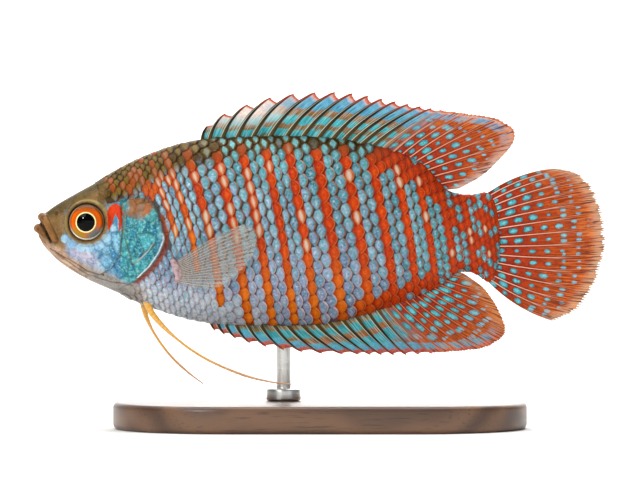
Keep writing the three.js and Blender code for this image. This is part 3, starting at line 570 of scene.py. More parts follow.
def fishSkin(name, plated):
    # wet skin under clear slime: a soft sheen over silvery blue cells with orange and brown pigment. The
    # scales are thin clear bone over the same colours; their growth rings, 0.1 mm apart, are drawn twice as
    # coarse
    material, add = newMaterial(name, roughness=0.42, specularLevel=0.1, coatWeight=0.06, coatRoughness=0.16,
                                coatIor=1.36)
    zones = {}
    for k in range(len(zoneNames) // 3):
        zones.update(zip(zoneNames[3 * k:3 * k + 3], stored(add, "zones%d" % k)))

    def painted(layers, shade, colour=None):
        # each zone's colour runs from dark to light with the shade
        for zone, dark, light in layers:
            both = add("mix", shade, dark, light)
            colour = both if zone == "" else add("mix", zones[zone], colour, both)
        return colour

    place = add("place")
    blotch = add("range", add("noise", place, scaleOf(skinPattern["blotch"]), 3.0), 0.32, 0.68)
    fine = add("noise", place, scaleOf(skinPattern["speck"]), 4.0, 0.7)
    grain = add("range", fine, 0.36, 0.64)
    patchy = add("noise", place, scaleOf(skinPattern["patch"]), 2.0)
    warp = add("noise", place, scaleOf(skinPattern["warp"]), 2.0, output=1)
    bent = add("vector", warp, (skinPattern["bend"] * millimetre,) * 3, place, operation="MULTIPLY_ADD")
    tall = add("vector", bent, (1.0, 1.0, 0.62))
    cellScale = scaleOf(skinPattern["cell"])
    cells = add("split", add("voronoi", tall, cellScale, 0.9, output=1))
    # painted shade: darker towards the edges of the cells, so that the bony plates of the head look domed
    creaseShade = add("range", add("voronoi", tall, cellScale, 0.9, feature="DISTANCE_TO_EDGE"), 0.17, 0.0, 0.0, 0.6)
    tone, isBar, pale, height = blotch, 0.35, 0.0, fine
    if plated:
        # a scale's own drawing: almond-shaped field, slim fleck, dark gap that is partly painted shade, and
        # pale rear rim
        tone, isBar, pale = stored(add, "tone")
        local = add("split", add("map", uv_map="plate")).node.outputs
        across = add("multiply_add", local[1], 2.0, -1.0)
        bulge = add("multiply", across, across)
        pointed = add("multiply", add("power", add("absolute", across), 1.3), 1.04)
        inward = swayed(add, add("multiply_add", local[0], 2.1, -1.42), patchy, 0.3)
        almond = add("add", pointed, add("absolute", inward))
        slim = swayed(add, add("absolute", add("multiply_add", local[0], 3.1, -1.8)), fine, 2.4)
        slim = add("multiply_add", tone, 0.3, add("multiply_add", bulge, 1.4, slim))
        rear = add("multiply_add", bulge, -0.72, local[0])
        tight = add("multiply_add", isBar, 0.3, add("multiply_add", zones["redGround"], -0.2, 1.0))
        gap = add("multiply", add("subtract", almond, tight), 7.0, use_clamp=True)
        # painted highlight: a pale, glittering middle on each scale, in the blue field and in the red bars
        centreHighlight = add("range", almond, 0.8, 0.1)
    mixedTone = add("add", add("multiply", tone, 0.45), add("multiply", grain, 0.55))
    field = layered(add, painted(fieldColours, mixedTone),
                    (add("range", patchy, 0.52, 0.62, 0.0, 0.5), "#469AA8"),
                    (add("range", patchy, 0.46, 0.38, 0.0, 0.45), "#8E9BC2"))
    flame = painted(barColours, mixedTone)
    olive = add("mix", mixedTone, "#352608", "#72530C")
    off = add("absolute", add("subtract", zones["number"], add("round", zones["number"])))
    limit = swayed(add, add("multiply_add", isBar, 0.07, 0.18), tone, 0.06)
    bar = add("multiply", add("subtract", limit, off), 28.0, use_clamp=True)
    bar = add("multiply", bar, add("range", zones["bar"], 0.42, 0.58))
    if plated:
        # the gap's colour: a pale rim behind the field, and in front of it a dark outline that is also painted
        # shade under the scale ahead
        ahead = add("multiply_add", inward, 3.0, 0.4, use_clamp=True)
        dark = add("mix", zones["lavender"], "#3C2816", "#5C5262")
        dark = add("mix", ahead, add("mix", zones["lavender"], "#8C5A3A", "#BCA8AC"), dark)
        dark = add("mix", zones["redGround"], dark, add("mix", grain, "#6A2608", "#9A3408"))
        rimLine = add("range", add("absolute", add("subtract", rear, 0.07)), 0.07, 0.035)
        silver = add("multiply_add", zones["lavender"], 0.5, add("multiply", zones["turquoise"], 0.35))
        field = layered(
            add, field,
            (add("multiply", centreHighlight, add("range", fine, 0.5, 0.66), 0.7), "#C4E6EC"),
            # painted shade: each scale darker towards its front, under the scale ahead
            (add("range", rear, 0.85, 1.5, 0.0, 0.5), "#24424C"),
            (add("multiply", gap, add("multiply_add", zones["belly"], -0.6, 0.9)), dark),
            (add("multiply", silver, rimLine, add("range", tone, 0.15, 0.6)), "#EADBC8"))
        milky = layered(add, add("mix", grain, "#BC8038", "#CCC2A8"),
                        (add("range", slim, 0.7, 0.2, 0.0, 0.6), "#BCC4C4"))
        fleck = add("multiply", pale, add("multiply_add", zones["back"], -0.35, 1.0))
        # painted light on the bar scales: shade darkens each scale's front and its upper and lower sides where
        # the scales overlap, the dark red gap is partly painted shade, and a painted highlight lies in the
        # middle
        flame = layered(
            add, flame,
            (add("range", inward, -0.1, 0.75, 0.0, 0.6), "#961C00"),
            (add("multiply", gap, 0.6), "#7E1800"),
            (add("multiply", add("range", bulge, 0.35, 0.8), 0.45), "#9C2200"),
            (add("multiply", centreHighlight, grain, 0.35), "#F0742A"),
            (add("multiply", rimLine, 0.5), "#E0904E"),
            (add("multiply", zones["redGround"], 0.35), "#98260A"),
            (add("multiply", fleck, add("range", slim, 1.5, 0.5, 0.0, 0.9)), milky))
        lit = add("multiply", add("range", almond, 0.85, 0.55), add("range", tone, 0.02, 0.12))
        light = add("mix", zones["turquoise"], "#8C7434", add("mix", grain, "#3C97A2", "#7CCBD2"))
        olive = layered(
            add, olive,
            (add("multiply", lit, add("multiply_add", zones["turquoise"], 0.55, 0.4)), light),
            # the dark gap round each scale, partly painted shade
            (add("multiply", gap, 0.8), "#33260F"))
        rings = add("sine", add("multiply", rear, 40.0))
        spokes = add("sine", add("multiply", local[1], 50.0))
        height = add("multiply_add", add("add", rings, spokes), 0.1, fine)
        setSockets(material, metallic=add("multiply", add("subtract", 1.0, bar), 0.2))
    else:
        field = add("mix", zones["redGround"], field, "#B0340A")
    colour = layered(
        add, field, (zones["back"], olive),
        (bar, add("mix", add("multiply", zones["back"], 0.65), flame, "#74400C")),
        (add("multiply", zones["back"], 0.12), "#20140A"))
    # the head: the bony plates get patches of colour, dark specks, painted glints and painted shade in the
    # creases between them, all least in the blush of the cheek
    spots = add("add", add("multiply", cells, 0.55), add("multiply", grain, 0.45))
    covered = add("maximum", zones["orbit"], add("multiply", zones["gillTop"], 0.55))
    bony = add("multiply", add("maximum", zones["gill"], zones["cheek"]), add("subtract", 1.0, covered))
    bony = add("multiply", bony, add("multiply_add", zones["blush"], -0.6, 1.0))
    tintsAndGlints = [(patchy, 0.5, 0.62, 0.4, "#12689C"), (patchy, 0.45, 0.36, 0.3, "#7CC4A8"),
               (fine, 0.55, 0.66, 0.45, "#C2E8E8"), (fine, 0.46, 0.36, 0.25, "#123F58")]
    colour = layered(
        add, painted(headColours, spots, colour),
        *[(add("multiply", bony, add("range", noise, low, high, 0.0, most)), above)
          for noise, low, high, most, above in tintsAndGlints],
        (add("multiply", creaseShade, bony), "#183F4C"))
    zones["gillTop"] = add("range", swayed(add, zones["gillTop"], blotch, 0.7), 0.3, 0.75, 0.0, 0.9)
    zones["red"] = add("range", swayed(add, zones["red"], patchy, 1.1), 0.3, 0.65)
    setSockets(material, baseColor=painted(lineColours, spots, colour),
               normal=add("bump", height, 0.55, skinPattern["relief"] * millimetre))
    return material


skinMaterial = fishSkin("wet skin, iridescent with pigment bars", False)
scaleMaterial = fishSkin("fish scale, thin clear bone over pigment", True)
print("materials of the skin are ready")


# Skin: one seamless surface over head, jaws, gill covers, trunk and tail root

skin = {"under": 0.1, "stations": 420, "around": 200, "voxel": 0.15, "smooth": 3, "socketDepth": 1.3,
        "lipRadius": 0.46, "lipSwell": 0.26}
upperLip = [[-39.4, -3.2, 0.0], [-40.4, -2.65, 1.8], [-41.2, -1.6, 3.1], [-41.65, 0, 3.45]]
lowerLip = [[-40.2, -2.75, -0.4], [-41.2, -2.1, 0.95], [-41.95, -1.2, 1.65], [-42.25, 0, 1.75]]


def lipTube(half):
    path = half + [[x, -y, z] for x, y, z in half[-2::-1]]
    radius = lambda t: skin["lipRadius"] + skin["lipSwell"] * np.sin(np.pi * t)
    return tube(along(path, np.linspace(0, 1, 60)), radius, radius, 20)


def joinedSkin():
    # body and lips melt into one surface in a remesh
    t = np.linspace(0, 1, skin["stations"])
    x = frontX + (tailRootX - frontX) * (t - np.sin(2 * np.pi * t) / 9)
    angle = circle(skin["around"])
    fold = np.arcsin(np.sin(angle))
    width, z = sectionPoint(x[:, None], fold[None, :], -skin["under"])
    y = width * np.where(np.cos(angle) >= 0, 1, -1)
    body = np.stack([np.broadcast_to(x[:, None], y.shape), y, z], -1)
    points, faces, start = [], [], 0
    for rings in (body, lipTube(upperLip), lipTube(lowerLip)):
        these, quads = cappedTube(rings)
        faces += [q[:3] if q[2] == q[3] else q for q in (quads + start).tolist()]
        points.append(these)
        start += len(these)
    mesh = bpy.data.meshes.new("rough skin")
    mesh.from_pydata(np.concatenate(points).tolist(), [], faces)
    rough = inScene("rough skin", mesh)
    remesh = rough.modifiers.new("one surface", "REMESH")
    remesh.mode = "VOXEL"
    remesh.voxel_size = skin["voxel"]
    rough.modifiers.new("even out", "SMOOTH").iterations = skin["smooth"]
    done = bpy.data.meshes.new_from_object(rough.evaluated_get(bpy.context.evaluated_depsgraph_get()))
    bpy.data.objects.remove(rough)
    points, normals = np.empty((2, len(done.vertices) * 3), np.float32)
    done.vertices.foreach_get("co", points)
    done.vertices.foreach_get("normal", normals)
    corners = np.empty(len(done.loops), np.int32)
    done.loops.foreach_get("vertex_index", corners)
    return points.reshape(-1, 3).astype(float), normals.reshape(-1, 3).astype(float), corners.reshape(-1, 4)


points, normals, quads = joinedSkin()
x, z = points[:, 0], points[:, 2]
onSide = smoothStep(0.25, 0.6, np.abs(normals[:, 1]))
points = points + normals * (relief(x, z) * onSide)[:, None]
radius = np.hypot(x - eye["x"], z - eye["z"])
socket = (1 - smoothStep(eye["radius"] - 0.02, eye["radius"] + 0.22, radius)) * (np.abs(points[:, 1]) > 1.5)
points[:, 1] -= np.sign(points[:, 1]) * socket * skin["socketDepth"]
skinObject = makeObject("skin", points, quads, skinMaterial, markings(x, z))
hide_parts("head", "upper_jaw", "lower_jaw", "gill_cover_left", "gill_cover_right", "trunk", "tail_root")
print("skin:", len(points), "points")


# Scales: overlapping plates in columns that follow the bars, each a closed thin sheet

# thick, lift and sunk are mm; length and arc are in columns' widths, beside in rows' heights
plate = {"rows": 7, "cols": 7, "thick": 0.05, "lift": 0.2, "sunk": 0.08, "columnsPerBar": 3, "arc": 0.72,
         "length": 2.4, "beside": 1.22, "uneven": 0.03, "twist": 0.05, "patch": 0.003}
rowPitch = through([
    [-42, 1.1], [-30, 1.5], [-22, 1.95], [-10, 2.15], [5, 2.1], [14, 1.8], [20, 1.35], [27, 1.2]])
paleFlecks = [[-1, 0, 1, 4, 5, 7, 11, 13, 15], [0.5, 0.45, 0.5, 0.4, 0.15, 0.15, 0.08, 0.35, 0.4]]  # by bar


def plates(name, x0, s0, pitch, height, isBar, turn, side, lift, material):
    # every plate's own grid is laid on the body by distance along and round it
    count, rows, cols = len(x0), plate["rows"], plate["cols"]
    a, b = np.meshgrid(np.linspace(0, 1, rows), np.sin(np.linspace(-1, 1, cols) * np.pi / 2), indexing="ij")
    length = plate["length"]
    rear = length - plate["arc"] * (0.65 * b * b + 0.35 * (1 - np.sqrt(np.maximum(0, 1 - b * b))))
    forward = a * rear - length + 0.55
    upward = b * (0.8 + 0.2 * np.sin(np.pi * np.minimum(a * 0.9, 0.5)))
    wide, tall, turned, raised = (v[:, None, None] for v in (pitch, height, turn, lift))
    dx, ds = forward * wide, upward * tall / 2
    x = x0[:, None, None] + dx * np.cos(turned) - ds * np.sin(turned)
    s = s0[:, None, None] + dx * np.sin(turned) + ds * np.cos(turned)
    x = x - 0.1 * (ds ** 2) * (x > 14)
    base, normal = surfaceWithNormal(np.clip(x, frontX + 0.1, tailRootX - 0.15), s)
    rise = -plate["sunk"] + (raised + plate["sunk"]) * a ** 1.3
    rise = rise + 0.06 * np.sin(np.pi * a) * (1 - b ** 2) - 0.03 * b
    rise = rise + relief(base[..., 0], base[..., 2]) * (base[..., 0] < -22)
    top = base + normal * rise[..., None]
    under = top - normal * plate["thick"]
    points = np.concatenate([top.reshape(count, -1, 3), under.reshape(count, -1, 3)], 1)
    points[..., 1] *= side
    perPlate = 2 * rows * cols
    allQuads = (sheetQuads(rows, cols) + np.arange(count)[:, None, None] * perPlate).reshape(-1, 4)
    # two maps of a plate: in pitches from its rear and heights from its lower edge, and a plain square
    local, square = (np.concatenate([np.stack([first, (b + 1) / 2], -1).reshape(-1, 2)] * 2)
                     for first in (length - a * rear, a))
    marks = {key: np.concatenate([value.reshape(count, -1, 3)] * 2, 1).reshape(-1, 3)
             for key, value in markings(base[..., 0], base[..., 2]).items()}
    chance = seeded.random((count, 3))
    centreZ = base[:, rows // 2, cols // 2, 2]
    number = barNumber(x0, centreZ)
    onNape = (x0 < -21.5) & (centreZ > 6.4)
    often = np.interp(number, *paleFlecks)
    pale = ((chance[:, 2] < often) & (isBar > 0.5) & (s0 > -3)) | (onNape & (chance[:, 2] < 0.6))
    # near the rear back, on the nape, at the tail root and at the anal fin many scales are red
    atBack = (x0 > 8.5) & (x0 < 18.5) & (backZ(x0) - centreZ < 3.6)
    atBelly = (x0 > 6) & (x0 < 19) & (centreZ - bellyZ(x0) < 2.4)
    reddened = np.zeros(count, bool)
    for where, share in ((atBack, 0.7), (onNape, 0.22), (x0 > 19, 0.4), (atBelly, 0.6)):
        reddened |= where & (chance[:, 1] > 1 - share)
    # a scale is in a bar or out of it as a whole
    barHere = marks["zones0"].reshape(count, perPlate, 3)[:, rows * cols // 2, 1] > 0.5
    red = np.repeat(reddened, perPlate)
    marks["zones0"][:, 1] = np.repeat(barHere | reddened, perPlate)
    marks["zones0"][red, 0] = np.repeat(np.round(number), perPlate)[red]
    marks["tone"] = np.repeat(np.stack([chance[:, 0], isBar, pale], -1), perPlate, 0)
    # each plate has a small patch of the bake map, at its root's place on an unwrap of the body
    rootPlace = np.stack([(x0 + 43) / 90, 0.25 + 0.5 * (side > 0) + s0 / 90], -1)
    patches = rootPlace[:, None] + (square[None] - 0.5) * plate["patch"]
    corner = {"plate": np.tile(local, (count, 1))[allQuads], "OFBake": patches.reshape(-1, 2)[allQuads]}
    made = makeObject(name, points.reshape(-1, 3), allQuads, material, marks, corner)
    made.data.uv_layers["OFBake"].active_render = True


def trunkLattice():
    # a place for every scale: one column in three is a red bar, and every second column is half a scale higher
    found = []
    perBar = plate["columnsPerBar"]
    for column in range(-4 * perBar, 17 * perBar):
        number = column / perBar
        for row in range(-16, 17):
            level = row + 0.5 * (column % 2)
            x = barX(number, 0.0)
            for _ in range(4):
                s = level * rowPitch(x)
                z = float(surfaceAt(np.array([x]), np.array([s]))[0, 2])
                x = float(barX(number, z))
            if x < -40 or x > 26.9 or abs(angleAt(np.array([x]), np.array([s]))[0]) > 1.5:
                continue
            width = float(np.interp(number, barNumbers, columnWidths))
            found.append((x, s, width, float(rowPitch(x)) * plate["beside"], column % perBar == 0, z))
    return np.array(found, float).T


x0, s0, pitch, height, isBar, zHere = trunkLattice()
behind = (lineDistance(gillEdge, x0, zHere)[1] > 0.8) & (x0 > -24.6 - (zHere < -4) * (-zHere - 4))
nape = (zHere > 6.4) & (x0 > -31.5 - (zHere - 6) * 0.3)
x0, s0, pitch, height, isBar = (v[behind | nape] for v in (x0, s0, pitch, height, isBar))
for side, word in ((-1, "left"), (1, "right")):
    jitter = 1 + plate["uneven"] * seeded.standard_normal(len(x0))
    lean = np.arctan(np.where(s0 > 0, barLean(x0), lowerLean) / 9)
    turn = lean + plate["twist"] * seeded.standard_normal(len(x0))
    lift = plate["lift"] * np.clip(pitch / 1.25, 0.55, 1.0)
    plates("scales " + word, x0, s0, pitch * jitter, height, isBar, turn, side, lift, scaleMaterial)
print("scales:", 2 * len(x0))


# Eyes: a clear wet dome over a fibrous orange iris and a black pupil

def eyeMaterial():
    # clear cornea, wet and very smooth, so it takes sharp glints; the iris below has radial fibres of pigment
    material, add = newMaterial("fish eye, wet cornea over iris", roughness=0.5, specularLevel=0.0,
                                coatWeight=0.32, coatRoughness=0.04, coatIor=1.376)
    out, aft, up = stored(add, "polar")
    # fibres run out from the pupil, much longer than they are wide
    fibre = add("noise", add("vector", add("join", out, aft, up), (1.2, 16.0, 16.0)), 1.6, 5.0, 0.6)
    wobble = add("subtract", add("multiply_add", fibre, 0.05, out), 0.025)
    iris = add("ramp", wobble, stops=[
        (0.0, "#010101"), (0.495, "#010101"), (0.51, "#FFECB4"), (0.555, "#FFE09A"), (0.58, "#A8640E"),
        (0.64, "#C84E06"), (0.77, "#E06004"), (0.89, "#AC4608"), (0.915, "#6A4E2A"), (0.94, "#B0A490"),
        (0.968, "#5E4E34"), (1.0, "#44361E")])
    ring = add("range", out, 0.56, 0.66)
    rear = add("range", aft, -0.3, 0.3)
    grey = add("multiply", add("range", up, -0.15, -0.65, 0.0, 0.95), rear, ring)
    gold = add("multiply", add("range", up, -0.2, -0.7, 0.0, 0.85), ring, add("subtract", 1.0, rear))
    # painted shade: the top of the iris darker
    topShade = add("multiply", add("range", up, 0.55, 1.0, 0.0, 0.75), add("range", out, 0.6, 0.8))
    # painted highlight: a white glint along the lower part of the silver rim
    rim = add("multiply", add("range", out, 0.875, 0.905), add("range", out, 0.975, 0.955),
              add("range", up, -0.2, -0.8))
    colour = layered(add, iris, (grey, "#5C6C68"), (gold, "#8E7820"), (topShade, "#4A3418"), (rim, "#F2EFE6"))
    setSockets(material, baseColor=colour, normal=add("bump", fibre, 0.25, 0.05 * millimetre))
    return material


eyeShine = eyeMaterial()
eyeRings, eyeSides, eyeMargin = 40, 96, 0.12  # the margin tucks the dome's edge under the socket's
r = np.concatenate([np.linspace(0.001, 1, eyeRings), [1.0, 0.9]])[:, None]
depth = np.concatenate([np.sqrt(1 - np.linspace(0.001, 0.999, eyeRings) ** 2), [-0.3, -0.6]])[:, None]
angle = circle(eyeSides)
polar = np.stack(np.broadcast_arrays(r, np.cos(angle), np.sin(angle)), -1).reshape(-1, 3)
polar = np.concatenate([polar, [[0, 0, 0], [1, 0, 0]]])
eyeCentreY = float(sideY(np.array([eye["x"]]), np.array([eye["z"]]))[0]) + eye["bulge"] - eye["depth"]
for side, word in ((-1, "left"), (1, "right")):
    ex = r * np.cos(angle) * (eye["radius"] + eyeMargin)
    ez = r * np.sin(angle) * (eye["radius"] + eyeMargin)
    ey = -depth * eye["depth"] * np.ones_like(angle)
    cy, sy = math.cos(eye["yaw"]), math.sin(eye["yaw"])
    dome = np.stack([ex * cy + ey * sy + eye["x"], -ex * sy + ey * cy - eyeCentreY, ez + eye["z"]], -1)
    dome[..., 1] *= -side
    ball, quads = cappedTube(dome)
    eyeObject = makeObject("eye " + word, ball, quads, eyeShine, {"polar": polar})
    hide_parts("eye_" + word)
print("eyes are in")


# Fins: each is one closed sheet whose rays are raised in its surface

# sizes in millimetres, except streaks, a number in each gap between two rays, and stretch, a number in each
# millimetre outwards
finPattern = {"cloud": 10 / 9, "grain": 10 / 32, "streaks": 10.0, "stretch": 0.3, "relief": 0.08}


def finMaterial(name, looks):
    # skin stretched over bony rays: thin, wet, a little see-through towards its edge
    material, add = newMaterial(name, roughness=0.45, specularLevel=0.16, coatWeight=0.06, coatRoughness=0.15,
                                coatIor=1.36)
    tau, far, _ = add("split", add("map", uv_map="fin")).node.outputs
    ridge, reach, soft = stored(add, "ray")
    height, edge, order = stored(add, "span")
    spacing = stored(add, "cell")[0]
    spiny = add("subtract", 1.0, soft)
    place = add("place")
    cloud = add("noise", place, scaleOf(finPattern["cloud"]), 3.0, 0.6)
    grain = add("range", add("noise", place, scaleOf(finPattern["grain"]), 3.0, 0.7), 0.35, 0.65)
    acrossStreak = add("multiply", tau, finPattern["streaks"])
    alongStreak = add("multiply", far, finPattern["stretch"])
    streak = add("noise", add("join", acrossStreak, alongStreak), 1.0, 2.0, noise_dimensions="2D")
    deep = add("add", add("multiply", add("range", cloud, 0.38, 0.62), 0.5), add("multiply", grain, 0.5))
    outer = add("multiply", add("range", reach, 0.15, 0.85), 0.75)
    ground = add("mix", outer, add("mix", deep, "#761600", "#B23004"), add("mix", deep, "#A03E06", "#CC5E10"))

    # oval spots in rows between the rays, each row with a start of its own
    pitch, (spotWide, spotLong) = looks["spotPitch"], looks["spotSize"]
    strip = add("floor", tau)
    inGap = add("subtract", add("fract", tau), 0.5)
    start = add("chance1", strip)
    run = add("add", add("divide", far, pitch), start)
    # how far out the middle of a spot lies: from 0.6 of the way there are two spots side by side
    centre = add("subtract", add("add", add("floor", run), 0.5), start)
    centre = add("multiply", reach, add("divide", add("multiply", centre, pitch), add("maximum", far, 0.3)))
    aside = add("subtract", add("absolute", inGap), 0.22)
    across = add("mixNumber", add("range", centre, 0.6, 0.601), inGap, aside)
    lot = add("chance", add("join", strip, add("floor", run), 3.0))
    wide = add("divide", add("multiply", across, spacing), spotWide)
    long = add("divide", add("multiply", add("subtract", add("fract", run), 0.5), pitch), spotLong)
    oval = add("sqrt", add("add", add("multiply", wide, wide), add("multiply", long, long)))
    size = add("multiply", add("multiply_add", lot, 0.6, 0.65), add("range", centre, 0.4, 0.95, 1.0, 0.45))
    oval = add("divide", swayed(add, oval, cloud, 1.4), size)
    shown = add("multiply", add("range", reach, looks["spotsTo"], looks["spotsTo"] - 0.06),
                add("range", far, 0.2, 0.7))
    blue = add("mix", add("range", oval, 0.95, 0.35), add("mix", grain, "#14606E", "#3796A4"),
               add("mix", grain, "#2C98A6", "#74D0D4"))
    blue = add("mix", add("multiply", add("range", reach, 0.4, 0.8), 0.6), blue, "#90BCD0")

    # blue and brown bands between the spines, a coloured edge, and a paler trailing part
    wavy = swayed(add, swayed(add, height, cloud, looks["wavy"]), start, 0.5)
    banded = layered(
        add, add("ramp", add("divide", wavy, 6.5), stops=looks["bands"]),
        (add("range", streak, 0.5, 0.4, 0.0, 0.4), "#17484E"),
        (add("range", streak, 0.52, 0.64, 0.0, 0.4), "#A4DADC"),
        (add("multiply", grain, 0.2), "#123E44"))
    forward = add("multiply", add("range", order, 0.24, 0.14), looks["front"])
    inside = add("range", add("absolute", inGap), 0.46, 0.36)
    edging = add("ramp", add("divide", swayed(add, edge, cloud, 0.8), 5.0), stops=looks["edging"]).node.outputs
    trail = looks["trail"]
    band = add("multiply", edging[1], add("maximum", inside, add("range", edge, 1.0, 0.7)),
               add("subtract", 1.0, add("multiply", forward, add("range", edge, 0.25, 0.5))),
               add("range", order, trail + 0.06, trail - 0.06))
    trailing = add("multiply", add("range", order, trail - 0.05, trail + 0.07),
                   add("range", edge, looks["trailWide"], 0.6))

    # pale and dark hair lines where the rays split towards the edge
    paleHair = add("multiply", add("range", streak, 0.55, 0.62), add("range", reach, 0.3, 0.95, 0.0, 0.75),
                   add("multiply_add", soft, 0.85, 0.15))
    darkHair = add("multiply", add("range", streak, 0.45, 0.38), add("range", reach, 0.2, 0.9, 0.1, 0.85),
                   add("multiply_add", soft, 0.8, 0.2))

    # bone: dark spines with a fine glint along one side, pale soft rays with a painted shadow line beside them
    spine = add("mix", add("range", reach, 0.05, 0.45), "#4A3A16", looks["spine"])
    spine = add("mix", add("range", reach, 0.68, 0.88), spine, "#8E3214")
    firm = add("multiply", add("subtract", ridge, add("multiply_add", soft, 0.35, 0.18)), 4.0, use_clamp=True)
    shade = add("multiply", firm, add("range", reach, 0.1, 0.95, *looks["rayShows"]))
    # painted shadow: a dark line beside each soft ray
    beside = add("multiply", add("range", ridge, 0.04, 0.25, 0.0, 0.55),
                 add("multiply", soft, add("range", reach, 0.9, 0.5)))
    offset = add("multiply", add("subtract", add("fract", add("add", tau, 0.5)), 0.5), spacing)
    glint = add("absolute", add("subtract", offset, add("range", reach, 0.0, 1.0, -0.2, 0.0)))
    glint = add("multiply", add("range", glint, 0.06, 0.025), spiny, add("range", reach, 0.85, 0.35, 0.0, 0.9))
    colour = layered(
        add, ground,
        (add("multiply", add("range", oval, 1.3, 1.05, 0.0, 0.75), shown), "#4C1E0C"),
        (add("multiply", add("range", oval, 1.08, 0.92), shown), blue),
        (add("multiply", spiny, looks["spiny"]), banded),
        (add("multiply", forward, add("range", height, 1.2, 3.6)), add("mix", grain, "#DCC6BC", "#F0E6E0")),
        (band, add("mix", add("multiply", grain, 0.14), edging[0], "#E8F4F6")),
        (add("multiply", trailing, looks["trailShare"]), add("mix", streak, *looks["trailColours"])),
        (paleHair, looks["hair"]), (darkHair, looks["darkHair"]), (beside, looks["darkHair"]),
        (add("maximum", shade, add("multiply", firm, spiny)), add("mix", soft, spine, looks["softRay"])),
        (glint, "#D6DABF"))
    clear = add("range", reach, 0.5, 1.0, *looks["alpha"])
    alpha = add("add", clear, add("multiply", ridge, looks["rayAlpha"]), use_clamp=True)
    relief = add("bump", streak, 0.5, finPattern["relief"] * millimetre)
    setSockets(material, baseColor=colour, alpha=alpha, normal=relief)
    return material


def finSheet(name, fin, material, node):
    # columns run out along the fin, rows from root to tip; a ray is a ridge that may fork twice on its way
    gaps, tips, narrow = fin["rays"] - 1, fin["tips"], fin["spineShare"]
    tau = np.linspace(0, gaps, gaps * fin["columns"] + 1)[:, None]
    v = np.concatenate([[-fin["sunk"]], np.linspace(0, 1, fin["rows"])])
    t = tau / gaps
    spiny = 1 - smoothStep(fin["spines"] - 0.06, fin["spines"] + 0.06, t)
    inGap = tau - np.floor(tau)
    base = fin["base"](t[:, 0])
    run = fin["tip"](t[:, 0]) - base
    length = np.linalg.norm(run, axis=1)[:, None]
    # the skin leaves a spine just behind its tip and meets the next one well below the tip
    fromTip = np.minimum(0.4, 0.3 * fin["notch"](t) + 0.1)
    membrane = fromTip + (fin["notch"](t) - fromTip) * np.clip((inGap - narrow) / (1 - 2 * narrow), 0, 1)
    membrane += 0.12 * np.sin(np.pi * inGap)
    spineTip = fromTip * np.minimum(inGap, 1 - inGap) / narrow
    drop = np.where((inGap > narrow) & (inGap < 1 - narrow), membrane, spineTip)
    ragged = np.interp(tips * tau, np.arange(tips * gaps + 1), 0.35 + 1.1 * seeded.random(tips * gaps + 1))
    fringe = (1 - spiny) * fin["fringe"] * ragged * (0.5 - 0.5 * np.cos(2 * np.pi * tips * tau)) ** 0.7
    reach = (1 - spiny * drop / length) * (1 - fringe)
    vv = v * np.where(v > 0, reach, 1)
    clipped = np.clip(vv, 0, 1)
    perpendicular = np.stack([-run[:, 1], run[:, 0]], -1)
    arch = fin["bend"](t) * 4 * vv * (1 - vv)
    place = base[:, None] + run[:, None] * vv[..., None] + perpendicular[:, None] * arch[..., None]
    columnStep = np.gradient(place, axis=0) * fin["columns"]
    rowStep = np.gradient(place, axis=1)
    outward = np.linalg.norm(rowStep, axis=-1)
    rowStep = rowStep / outward[..., None]
    spacing = np.abs(columnStep[..., 0] * rowStep[..., 1] - columnStep[..., 1] * rowStep[..., 0])
    softWidth = np.minimum(fin["rayWidth"] * (1.15 - 0.5 * clipped), 0.24 * spacing)
    width = spiny * fin["spineWidth"] * (1.15 - 0.8 * clipped) + (1 - spiny) * softWidth
    ridge = np.zeros(vv.shape)
    for fork, share in ((0, 1.0), (-1, 0.7), (1, 0.7)):
        opening = fork * 0.17 * smoothStep(0.35, 0.8, vv) * (1 - spiny)
        if fork:
            present = smoothStep(0.35, 0.6, vv) * (1 - spiny)
        else:
            present = np.where(spiny > 0.5, 1.0, 1 - 0.7 * smoothStep(0.5, 0.95, vv))
        for small in (-1, 1):
            offset = opening + small * abs(fork) * 0.085 * smoothStep(0.65, 1.0, vv) * (1 - spiny)
            away = np.abs((tau - np.round(tau) - offset) * spacing - 0.1 * spiny * (1 - clipped))
            ridge = np.maximum(ridge, bump(away, width) * present * share)
    half = fin["thick"] / 2 + fin["rayHeight"] * (1 - 0.8 * clipped) * ridge
    wave = fin["wave"] * np.sin(tau * 2.4 + vv * 2.0) * clipped
    y = fin["y"](place[..., 0], place[..., 1], vv) + wave
    points = np.concatenate([np.stack([place[..., 0], y + sign * half, place[..., 1]], -1).reshape(-1, 3)
                             for sign in (1, -1)])
    rows, cols = place.shape[:2]
    quads = sheetQuads(rows, cols)
    distance = np.cumsum(outward, 1)
    height = fin["height"](place) if "height" in fin else np.clip(distance - distance[:, 1:2], 0, None)
    marks = {"ray": (ridge, clipped, 1 - spiny), "span": (height, (1 - v) * length * reach, t),
             "cell": (spacing, vv, vv)}
    marks = {key: np.tile(np.stack(np.broadcast_arrays(*value), -1).reshape(-1, 3), (2, 1))
             for key, value in marks.items()}
    corner = np.stack([np.repeat(tau, cols), distance.ravel()], -1)
    corner = np.concatenate([corner, corner])[quads]
    # keep each cell's corners inside its own gap between two rays
    middle = np.floor(corner[..., 0].mean(1))[:, None]
    corner[..., 0] = np.clip(corner[..., 0], middle + 0.002, middle + 0.998)
    made = makeObject(name, points, quads, material, marks, {"fin": corner})
    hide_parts(node)
    print(name + ":", len(quads), "faces")


def flat(points):
    keys = np.array(points, float)
    cx, cz = through(keys[:, [0, 1]]), through(keys[:, [0, 2]])
    return lambda t: np.stack([cx(t), cz(t)], -1)


